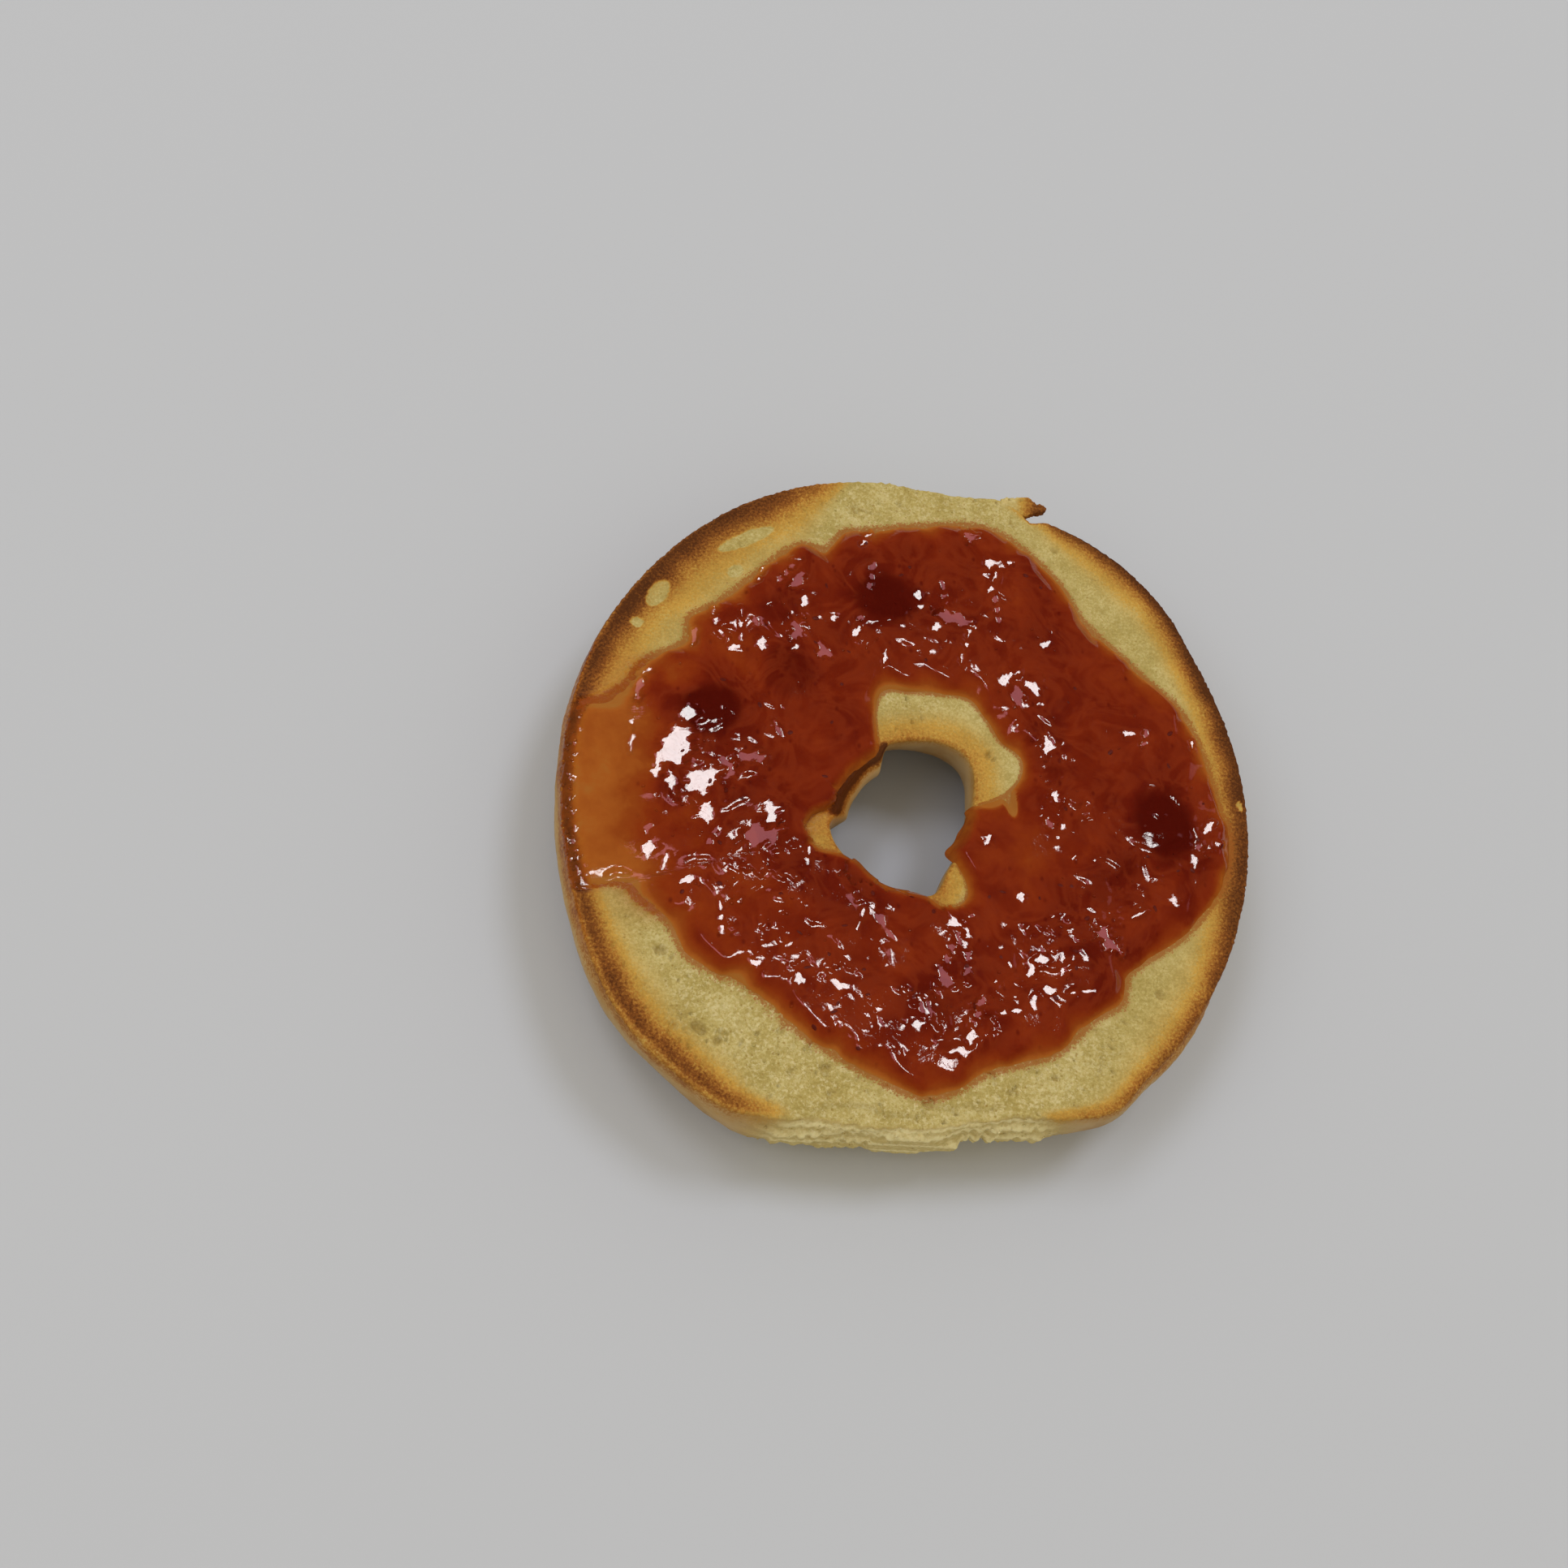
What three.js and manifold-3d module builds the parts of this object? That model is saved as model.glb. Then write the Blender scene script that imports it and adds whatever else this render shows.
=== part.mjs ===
import * as THREE from 'three';
import { mergeVertices } from 'three/addons/utils/BufferGeometryUtils.js';
import Module from 'manifold-3d';

// One half of a sliced bagel, toasted and spread with jam. It lies on its crust
// with the cut face up. Millimetres, +Z up. The origin is on the surface that it
// rests on, under the middle of its outline. Angles run anticlockwise from +X.

// Driving sizes
const breadThickness = 16; // from the base of the crust to the cut face
const basePress = 0.15; // depth of the round crust that its own weight presses flat
const rimRound = 0.45; // rounding of the toasted edge
const sideFullness = 3.4; // squareness of the crust side: 2 is an ellipse
const tornFullness = 7; // the same where a neighbouring bagel was pulled away
const holeFullness = 2.5; // the same on the wall of the hole
const holeFullnessSwing = 0.55; // how much squarer that wall is on the right than on the left
const tornRelief = 1.1; // height of the ledges on a torn side
const crustRelief = 0.2; // height of the folds of the smooth crust
const crustSwell = 0.6; // how far the crust bellies out below the cut, where it does so most
const swellMiddle = 186; // degrees
const swellSpread = 32;
const swellDepth = 5; // of the widest level below the cut face
const layerHeight = 5.5; // of a layer of torn crumb
const jamGap = 0.3; // between the cut face and the jam
const jamLip = 0.25; // height of the jam's upright edge
const jamDepth = 1.35; // usual depth of the jam
const jamRoll = 3; // width of the jam's rounded edge
const jamLumpHeight = 0.32; // height of its small lumps
const filmDepth = 0.5; // depth of the thin glaze that ran out to the rim
const flakeThickness = 1.1; // of the loose flake of crust on the rim
const steps = 112; // stations round the ring

// The middle of the hole, which isn't the middle of the bagel.
const holeCentre = new THREE.Vector2(-1.5, -4.3);

// Outlines as [degrees, radius] knots: the rim and the jam's outer edge round the
// origin, the hole and the jam's inner edge round the middle of the hole.
const rimKnots = [
  [0, 52.4], [20, 52.4], [30, 52.8], [38, 53.8], [47, 54.2], [56, 53.8], [62, 52.8], [69, 52.2],
  [80, 51.4], [90, 51.5], [100, 52.2], [118, 52.3], [140, 51.8], [160, 51.9], [180, 52.2],
  [195, 53.2], [206, 54.4], [214, 55.8], [222, 57], [232, 57.2], [242, 56.9], [248, 54.8],
  [257, 52.5], [268, 51.5], [280, 50.8], [286, 51.3], [292, 53.2], [300, 55], [308, 53.6],
  [320, 52.9], [335, 52.5], [350, 52.4],
];
const holeKnots = [
  [0, 10], [22, 11.3], [36, 12.8], [46, 13.3], [62, 12.7], [78, 11.6], [94, 10.9], [120, 10.3],
  [150, 10.2], [176, 11.1], [205, 12.1], [230, 12], [252, 12.6], [270, 12.8], [288, 13.2],
  [303, 10.8], [318, 9.9], [340, 9.9],
];
const jamOuterKnots = [
  [0, 48], [20, 46], [30, 43], [46, 41.2], [56, 44], [73, 47.2], [86, 44.8], [97, 43.3],
  [104, 43.2], [109, 41], [114, 42.7], [126, 41.1], [137, 40.7], [145, 42.2], [150, 40.6],
  [158, 43.8], [163, 45], [167, 50.6], [175, 51.4], [188, 52.1], [199, 52.8], [204, 52.4],
  [208, 44.6], [214, 43.8], [221, 44.4], [233, 41.6], [246, 42.9], [258, 44.8], [271, 47.3],
  [283, 44.3], [296, 44.6], [306, 43.2], [313, 44], [319, 41.9], [332, 45.6], [346, 49.2],
  [355, 49.4],
];
const jamInnerKnots = [
  [0, 9.2], [8, 10], [14, 15.2], [20, 18.4], [28, 20], [40, 19], [51, 20], [62, 21.1], [74, 19.8],
  [86, 19], [99, 18.8], [105, 15.8], [111, 10.2], [128, 9], [150, 9.3], [170, 10.3], [183, 11.4],
  [189, 14.4], [195, 15.6], [207, 14.8], [217, 12.2], [230, 11], [250, 12], [266, 12.2],
  [281, 13.1], [290, 15.4], [301, 15.7], [308, 13.6], [313, 9.4], [320, 8.2], [340, 8.6],
  [350, 8.9],
];

// Sides where the neighbours were torn off, as first and last degree.
const tornSides = [
  [68, 100],
  [246, 293],
];
const tornFade = 5; // degrees over which a torn side turns into crust

// Deep spots of the jam: x, y, spread and added depth.
const jamMounds = [
  [-33, 8, 7, 0.8], [-4, 30, 7, 0.7], [38, -4, 7, 0.8], [-22, -6, 8, 0.35], [20, 24, 8, 0.35],
  [24, -24, 8, 0.4], [2, -38, 6, 0.45], [-14, -24, 7, 0.3],
];

// The glaze lies outside this line across the left of the cut face.
const filmEdge = -39;
const filmFade = 4;

const radians = THREE.MathUtils.degToRad;
const smoothstep = THREE.MathUtils.smoothstep;

function direction(degrees) {
  return new THREE.Vector2(Math.cos(radians(degrees)), Math.sin(radians(degrees)));
}

// The radius at an angle, on a smooth closed curve through the knots.
function radiusAt(knots, degrees) {
  const count = knots.length;
  const angle = THREE.MathUtils.euclideanModulo(degrees, 360);
  const after = knots.findIndex((knot) => knot[0] > angle);
  const start = after < 0 ? count - 1 : after - 1;
  const knot = (i) => {
    const turn = Math.floor(i / count);
    const [at, radius] = knots[i - turn * count];
    return { at: at + 360 * turn, radius };
  };
  const [before, low, high, beyond] = [-1, 0, 1, 2].map((i) => knot(start + i));
  const span = high.at - low.at;
  const share = (angle - low.at) / span;
  const slopeLow = ((high.radius - before.radius) / (high.at - before.at)) * span;
  const slopeHigh = ((beyond.radius - low.radius) / (beyond.at - low.at)) * span;
  const squared = share * share;
  const cubed = squared * share;
  return (
    (2 * cubed - 3 * squared + 1) * low.radius +
    (cubed - 2 * squared + share) * slopeLow +
    (3 * squared - 2 * cubed) * high.radius +
    (cubed - squared) * slopeHigh
  );
}

// 1 on a torn side, 0 on crust.
function tornShare(degrees) {
  const shares = tornSides.map(([first, last]) => {
    const rise = smoothstep(degrees, first - tornFade, first + tornFade);
    const fall = smoothstep(degrees, last - tornFade, last + tornFade);
    return rise * (1 - fall);
  });
  return Math.max(...shares);
}

// Ledges and tatters of torn crumb, and the shallow folds of the crust.
function sideRelief(degrees, depth) {
  const torn = tornShare(degrees);
  const angle = radians(degrees);
  const layer = Math.cos(((depth - 8) / layerHeight) * Math.PI * 2 + 0.8 * Math.sin(4 * angle));
  const tatter = Math.sin(41 * angle + depth) * Math.sin(17 * angle - 0.7 * depth);
  const fold = Math.sin(7 * angle + 0.25 * depth) + 0.5 * Math.sin(13 * angle - 0.4 * depth);
  const below = smoothstep(depth, 0.5, 3);
  const ledges = tornRelief * (0.7 * layer + 0.6 * tatter) * torn;
  const folds = crustRelief * fold * (1 - torn);
  const belly = crustSwell * Math.exp(-(((degrees - swellMiddle) / swellSpread) ** 2));
  const level = Math.exp(-(((depth - swellDepth) / swellDepth) ** 2));
  return below * (ledges + folds) + belly * level * smoothstep(depth, 0, 2);
}

// Closes a ring of sections into one solid. Each section is a loop of points that
// runs down the outer side, in along the base, up the inner side and out again.
function ringGeometry(sectionAt) {
  const sections = Array.from({ length: steps }, (_, i) => sectionAt((360 * i) / steps));
  const around = sections[0].length;
  const index = [];
  for (let i = 0; i < steps; i++) {
    const next = (i + 1) % steps;
    for (let j = 0; j < around; j++) {
      const along = (j + 1) % around;
      const corners = [i * around + j, i * around + along, next * around + along, next * around + j];
      index.push(corners[0], corners[1], corners[2]);
      index.push(corners[0], corners[2], corners[3]);
    }
  }
  const geometry = new THREE.BufferGeometry().setFromPoints(sections.flat());
  geometry.setIndex(index);
  geometry.computeVertexNormals();
  return geometry;
}

// One section across the ring at an angle: where it starts and ends on the cut
// face, and a way to place a point from its share across and its height.
function crossing(degrees, outerKnots, innerKnots) {
  const along = direction(degrees);
  const outer = along.clone().multiplyScalar(radiusAt(outerKnots, degrees));
  const inner = along.clone().multiplyScalar(radiusAt(innerKnots, degrees)).add(holeCentre);
  const width = outer.distanceTo(inner);
  const place = (share, height) => {
    const flat = inner.clone().lerp(outer, share);
    return new THREE.Vector3(flat.x, flat.y, height);
  };
  return { width, place };
}

// How far a side has drawn in at a depth, as a share of half the section.
function drawnIn(depth, fullness) {
  const reach = depth / (breadThickness + basePress);
  return (1 - reach ** fullness) ** (1 / fullness);
}

function breadSection(degrees) {
  const { width, place } = crossing(degrees, rimKnots, holeKnots);
  const torn = tornShare(degrees);
  const outerFullness = THREE.MathUtils.lerp(sideFullness, tornFullness, torn);
  const innerFullness = holeFullness + holeFullnessSwing * direction(degrees + 35).x;
  const depths = [0.03, 0.1, 0.21, 0.34, 0.48, 0.62, 0.74, 0.85, 0.93, 0.98, 1];
  const points = depths.map((part) => {
    const depth = part * breadThickness;
    const relief = sideRelief(degrees, depth) * (1 - part ** 6);
    const share = 0.5 + 0.5 * drawnIn(depth, outerFullness) + relief / width;
    return place(share, breadThickness - depth);
  });
  const baseOuter = 0.5 + 0.5 * drawnIn(breadThickness, outerFullness);
  const baseInner = 0.5 - 0.5 * drawnIn(breadThickness, innerFullness);
  for (const part of [0.33, 0.67]) {
    points.push(place(THREE.MathUtils.lerp(baseOuter, baseInner, part), 0));
  }
  for (const part of depths.toReversed()) {
    const depth = part * breadThickness;
    points.push(place(0.5 - 0.5 * drawnIn(depth, innerFullness), breadThickness - depth));
  }
  const edge = rimRound / width;
  for (const share of [edge, 0.2, 0.45, 0.7, 0.88, 1 - edge]) {
    points.push(place(share, breadThickness));
  }
  return points;
}

// Depth of the jam over a spot of the cut face, away from its edges.
function jamDepthAt(x, y) {
  const mounds = jamMounds.map(([middleX, middleY, spread, rise]) => {
    const away = Math.hypot(x - middleX, y - middleY) / spread;
    return rise * Math.exp(-away * away);
  });
  const lumps =
    Math.sin(0.62 * x + 0.21 * y) * Math.sin(0.55 * y - 0.18 * x) +
    0.6 * Math.sin(0.95 * x - 0.4 * y + 1) * Math.sin(0.8 * y + 0.3 * x);
  const full = jamDepth + jamLumpHeight * lumps + mounds.reduce((sum, rise) => sum + rise, 0);
  const film = 1 - smoothstep(x, filmEdge - filmFade, filmEdge + filmFade);
  return THREE.MathUtils.lerp(full, filmDepth, film);
}

function jamSection(degrees) {
  const { width, place } = crossing(degrees, jamOuterKnots, jamInnerKnots);
  const floor = breadThickness + jamGap;
  const shares = [1, 0.97, 0.92, 0.84, 0.72, 0.58, 0.44, 0.3, 0.17, 0.08, 0.03, 0];
  const top = shares.toReversed().map((share) => {
    const spot = place(share, 0);
    const fromEdge = Math.min(share, 1 - share) * width;
    const roll = Math.sqrt(1 - (1 - Math.min(fromEdge / jamRoll, 1)) ** 2);
    const rise = Math.max(jamDepthAt(spot.x, spot.y) - jamLip, 0.1);
    return place(share, floor + jamLip + rise * roll);
  });
  const bottom = [1, 0.75, 0.5, 0.25, 0].map((share) => place(share, floor));
  return [...bottom, ...top];
}

// A closed geometry as a solid that can be joined, and back.
const wasm = await Module();
wasm.setup();

function solidFrom(geometry) {
  const bare = geometry.clone();
  bare.deleteAttribute('normal');
  bare.deleteAttribute('uv');
  const merged = mergeVertices(bare, 1e-4);
  return new wasm.Manifold(
    new wasm.Mesh({
      numProp: 3,
      vertProperties: merged.attributes.position.array,
      triVerts: new Uint32Array(merged.index.array),
    }),
  );
}

function geometryFrom(solid) {
  const mesh = solid.getMesh();
  const geometry = new THREE.BufferGeometry();
  geometry.setAttribute('position', new THREE.BufferAttribute(mesh.vertProperties, 3));
  geometry.setIndex(new THREE.BufferAttribute(mesh.triVerts, 1));
  geometry.computeVertexNormals();
  return geometry;
}

// A ragged flake of crust that stands off the rim where the torn side begins.
function flakeGeometry() {
  const flakeAngle = 68; // where it grows from the rim
  const rootRadius = 47.6; // inside the bread
  const outline = new THREE.Shape();
  outline.moveTo(0, -1.6);
  outline.lineTo(4.2, -1.5);
  outline.lineTo(6.6, -2.3);
  outline.lineTo(7, -1.1);
  outline.lineTo(6.2, -0.4);
  outline.lineTo(6.5, 0.7);
  outline.lineTo(5.2, 0.9);
  outline.lineTo(4, 1.4);
  outline.lineTo(0, 1.6);
  const flake = new THREE.ExtrudeGeometry(outline, { depth: flakeThickness, bevelEnabled: false });
  const root = direction(flakeAngle).multiplyScalar(rootRadius);
  flake.rotateZ(radians(flakeAngle));
  flake.translate(root.x, root.y, breadThickness - flakeThickness - 0.05);
  return flake;
}

function breadGeometry() {
  const ring = solidFrom(ringGeometry(breadSection));
  return geometryFrom(ring.add(solidFrom(flakeGeometry())));
}

const crumb = new THREE.MeshStandardMaterial({ color: '#b59a5e', roughness: 0.9, metalness: 0 });
const preserve = new THREE.MeshStandardMaterial({ color: '#742612', roughness: 0.12, metalness: 0 });

const bread = new THREE.Mesh(breadGeometry(), crumb);
bread.name = 'bagel_half';

const jam = new THREE.Mesh(ringGeometry(jamSection), preserve);
jam.name = 'jam';

const bagel = new THREE.Group();
bagel.add(bread, jam);

export default bagel;
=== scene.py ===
from functools import partial

import bpy
import numpy as np
from mathutils import Matrix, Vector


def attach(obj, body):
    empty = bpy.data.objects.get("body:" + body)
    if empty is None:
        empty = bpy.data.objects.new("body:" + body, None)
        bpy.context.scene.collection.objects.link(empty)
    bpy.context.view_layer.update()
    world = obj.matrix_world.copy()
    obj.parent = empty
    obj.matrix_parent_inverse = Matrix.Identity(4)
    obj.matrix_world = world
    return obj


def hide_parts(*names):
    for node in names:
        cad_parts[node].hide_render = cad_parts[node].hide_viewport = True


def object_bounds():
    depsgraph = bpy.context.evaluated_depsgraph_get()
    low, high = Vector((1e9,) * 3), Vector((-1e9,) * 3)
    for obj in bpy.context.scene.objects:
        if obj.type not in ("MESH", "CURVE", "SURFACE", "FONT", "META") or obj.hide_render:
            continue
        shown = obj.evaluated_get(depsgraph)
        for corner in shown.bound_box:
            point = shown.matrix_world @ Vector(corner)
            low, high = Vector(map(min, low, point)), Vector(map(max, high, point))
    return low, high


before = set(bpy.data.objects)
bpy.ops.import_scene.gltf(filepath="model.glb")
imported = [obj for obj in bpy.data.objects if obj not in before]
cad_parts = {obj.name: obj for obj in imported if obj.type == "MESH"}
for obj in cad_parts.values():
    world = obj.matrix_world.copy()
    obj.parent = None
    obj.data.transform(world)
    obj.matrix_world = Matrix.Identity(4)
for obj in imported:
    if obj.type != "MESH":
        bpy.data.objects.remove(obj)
cadLow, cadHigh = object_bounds()
print("frame loaded:", ", ".join(sorted(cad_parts)))

mm = 0.001  # metres


# numbers

def rise(value, low, high):  # smooth step from 0 to 1
    share = np.clip((value - low) / (high - low), 0, 1)
    return share * share * (3 - 2 * share)


def mix(low, high, share):
    return low + (high - low) * share


def hump(value, middle, spread):  # 1 in the middle, falling away on both sides
    return np.exp(-(((value - middle) / spread) ** 2))


def direction(degrees):
    turn = np.radians(degrees)
    return np.stack([np.cos(turn), np.sin(turn)], axis=-1)


def knotCurve(knots, degrees, column=1):  # smooth closed curve through [degrees, value] knots
    places, values = (np.array([knot[i] for knot in knots], float) for i in (0, column))
    count = len(knots)
    angle = np.mod(degrees, 360)
    start = np.searchsorted(places, angle, side="right") - 1

    def knotAt(step):
        turn = (start + step) // count
        spot = start + step - turn * count
        return places[spot] + 360 * turn, values[spot]

    (beforeAt, before), (lowAt, low), (highAt, high), (beyondAt, beyond) = map(knotAt, (-1, 0, 1, 2))
    span = highAt - lowAt
    share = (angle - lowAt) / span
    lowSlope = (high - before) / (highAt - beforeAt) * span
    highSlope = (beyond - low) / (beyondAt - lowAt) * span
    squared = share**2
    cubed = share**3
    return (
        (2 * cubed - 3 * squared + 1) * low
        + (cubed - 2 * squared + share) * lowSlope
        + (3 * squared - 2 * cubed) * high
        + (cubed - squared) * highSlope
    )


def ragged(degrees, slowest, fastest, seed):  # random ripple round the ring, about 1 high
    draw = np.random.default_rng(seed)
    waves = np.arange(slowest, fastest)
    phases = draw.uniform(0, 2 * np.pi, len(waves))
    sizes = draw.normal(0, 1, len(waves)) * np.sqrt(2 / len(waves))
    return (sizes * np.sin(np.radians(degrees)[:, None] * waves + phases)).sum(axis=1)


def blob(x, y, spot, wider=0.0):  # squared distance in an oval (x, y, length, width, turn), 1 at its edge
    middleX, middleY, length, width, turn = spot[:5]
    along = direction(turn)
    across = direction(turn + 90)
    u = ((x - middleX) * along[0] + (y - middleY) * along[1]) / ((length + wider) / 2)
    v = ((x - middleX) * across[0] + (y - middleY) * across[1]) / ((width + wider) / 2)
    return u * u + v * v


def tint(red, green, blue):  # a screen colour from 0 to 255 as the shader wants it
    shown = np.array([red, green, blue]) / 255
    linear = np.where(shown <= 0.04045, shown / 12.92, ((shown + 0.055) / 1.055) ** 2.4)
    return (*linear.tolist(), 1.0)


# node trees

def feed(node, inputs):  # links sockets into a node and sets its other inputs
    for key, value in inputs.items():
        if isinstance(value, bpy.types.NodeSocket):
            node.id_data.links.new(value, node.inputs[key])
        else:
            node.inputs[key].default_value = value


def put(place, kind, inputs=None, **settings):  # adds a node beside a socket, or to a tree
    made = place.id_data.nodes.new(kind)
    for name, value in settings.items():
        setattr(made, name, value)
    feed(made, inputs or {})
    return made


def socketIn(values):
    return next(value for value in values if isinstance(value, bpy.types.NodeSocket))


def calc(operation, *values):
    return put(socketIn(values), "ShaderNodeMath", dict(enumerate(values)), operation=operation).outputs[0]


plus, minus, times, timesPlus = (
    partial(calc, operation) for operation in ("ADD", "SUBTRACT", "MULTIPLY", "MULTIPLY_ADD")
)


def fade(value, low, high, first=0.0, last=1.0):  # smooth step as a node
    return put(value, "ShaderNodeMapRange", {
        "Value": value, "From Min": low, "From Max": high, "To Min": first, "To Max": last,
    }, interpolation_type="SMOOTHSTEP").outputs[0]


def perSize(spot, size):  # how many repeats of a size there are in a metre
    return put(spot, "ShaderNodeMath", {0: 1.0, 1: size}, operation="DIVIDE").outputs[0]


def grain(spot, size, detail=2.0, roughness=0.5, bend=0.0):  # noise, 0 to 1
    return put(spot, "ShaderNodeTexNoise", {
        "Vector": spot, "Scale": perSize(spot, size), "Detail": detail, "Roughness": roughness,
        "Distortion": bend,
    }).outputs[0]


def bumped(height, strength, distance):
    return put(height, "ShaderNodeBump", {
        "Height": height, "Strength": strength, "Distance": distance * mm,
    }).outputs[0]


def soften(shader, weight, colour, deep):  # lets light into the surface
    feed(shader, {"Subsurface Weight": weight, "Subsurface Radius": colour, "Subsurface Scale": deep * mm})


def cells(spot, size):  # cell pattern: distance from a cell's middle and the cell's random number
    made = put(spot, "ShaderNodeTexVoronoi", {"Vector": spot, "Scale": perSize(spot, size)})
    chance = put(spot, "ShaderNodeSeparateXYZ", {0: made.outputs["Color"]}).outputs[0]
    return made.outputs["Distance"], chance


def colours(share, first, second, kind="MIX"):
    return put(socketIn((share, first)), "ShaderNodeMix", {0: share, 6: first, 7: second},
               data_type="RGBA", blend_type=kind).outputs[2]


def ramp(value, shades, stops):  # stops name the colour at each place
    made = put(value, "ShaderNodeValToRGB", {0: value})
    band = made.color_ramp
    while len(band.elements) < len(stops):
        band.elements.new(0.5)
    for element, (place, name) in zip(band.elements, stops.items()):
        element.position = place
        element.color = shades[name]
    return made.outputs[0]


def painted(place, *names):  # values that the mesh carries
    return [put(place, "ShaderNodeAttribute", attribute_name=name).outputs["Fac"] for name in names]


def carried(place, *names):  # the same in a geometry tree
    kind = "GeometryNodeInputNamedAttribute"
    return [put(place, kind, {"Name": name}, data_type="FLOAT").outputs["Attribute"] for name in names]


def newMaterial(name):
    made = bpy.data.materials.new(name)
    made.use_nodes = True
    spot = put(made.node_tree, "ShaderNodeTexCoord").outputs["Object"]
    return made, made.node_tree.nodes["Principled BSDF"], spot


def newTree(name, sizes):  # a geometry tree with a named input for each size
    tree = bpy.data.node_groups.new(name, "GeometryNodeTree")
    add = tree.interface.new_socket
    add("Geometry", in_out="INPUT", socket_type="NodeSocketGeometry")
    for key, value in sizes.items():
        kind = "NodeSocketInt" if isinstance(value, int) else "NodeSocketFloat"
        add(key, in_out="INPUT", socket_type=kind).default_value = value
    add("Material", in_out="INPUT", socket_type="NodeSocketMaterial")
    add("Geometry", in_out="OUTPUT", socket_type="NodeSocketGeometry")
    return tree, put(tree, "NodeGroupInput").outputs


def seededSpot(start):  # each point's place, shifted by the seed
    seed = start["Seed"]
    place = put(seed, "GeometryNodeInputPosition").outputs[0]
    shift = put(seed, "ShaderNodeCombineXYZ", {"X": seed, "Y": seed}).outputs[0]
    return put(seed, "ShaderNodeVectorMath", {0: place, 1: shift}, operation="ADD").outputs[0]


def moved(geometry, offset):
    return put(geometry, "GeometryNodeSetPosition", {"Geometry": geometry, "Offset": offset}).outputs[0]


def scaled(vector, share):
    return put(share, "ShaderNodeVectorMath", {0: vector, 3: share}, operation="SCALE").outputs[0]


def raised(geometry, height):  # moved along its normals
    return moved(geometry, scaled(put(geometry, "GeometryNodeInputNormal").outputs[0], height))


def stored(geometry, name, value):
    return put(geometry, "GeometryNodeStoreNamedAttribute", {
        "Geometry": geometry, "Name": name, "Value": value,
    }, data_type="FLOAT", domain="POINT").outputs[0]


def endTree(geometry, material):  # real geometry in its material
    real = put(geometry, "GeometryNodeRealizeInstances", {"Geometry": geometry}).outputs[0]
    coated = put(geometry, "GeometryNodeSetMaterial", {"Geometry": real, "Material": material}).outputs[0]
    put(geometry, "NodeGroupOutput", {"Geometry": coated})


def runTree(piece, tree, material, sizes):  # runs the tree and keeps the result as a plain mesh
    modifier = piece.modifiers.new(tree.name, "NODES")
    modifier.node_group = tree
    values = {**sizes, "Material": material}
    for item in tree.interface.items_tree:
        if item.in_out == "INPUT" and item.name in values:
            modifier[item.identifier] = values[item.name]
    plain = plainMesh(piece)
    piece.modifiers.remove(modifier)
    before = piece.data
    piece.data = plain
    bpy.data.meshes.remove(before)


def plainMesh(piece):
    bpy.context.view_layer.update()
    live = bpy.context.evaluated_depsgraph_get()
    return bpy.data.meshes.new_from_object(piece.evaluated_get(live), preserve_all_data_layers=True,
                                           depsgraph=live)


def dress(piece, values, tree, material, sizes):  # gives its points their values, then runs the tree
    for name, shown in values.items():
        layer = piece.data.attributes.new(name, "FLOAT", "POINT")
        shown = np.broadcast_to(shown, len(piece.data.vertices))
        layer.data.foreach_set("value", np.ascontiguousarray(shown, np.float32))
    runTree(piece, tree, material, sizes)
    return piece


def addPiece(name, mesh):
    piece = bpy.data.objects.new(name, mesh)
    bpy.context.scene.collection.objects.link(piece)
    return piece


def pointsOf(mesh):
    points = np.empty(len(mesh.vertices) * 3, np.float32)
    mesh.vertices.foreach_get("co", points)
    return points.reshape(-1, 3)


# the outlines, which are those of the solids

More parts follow.
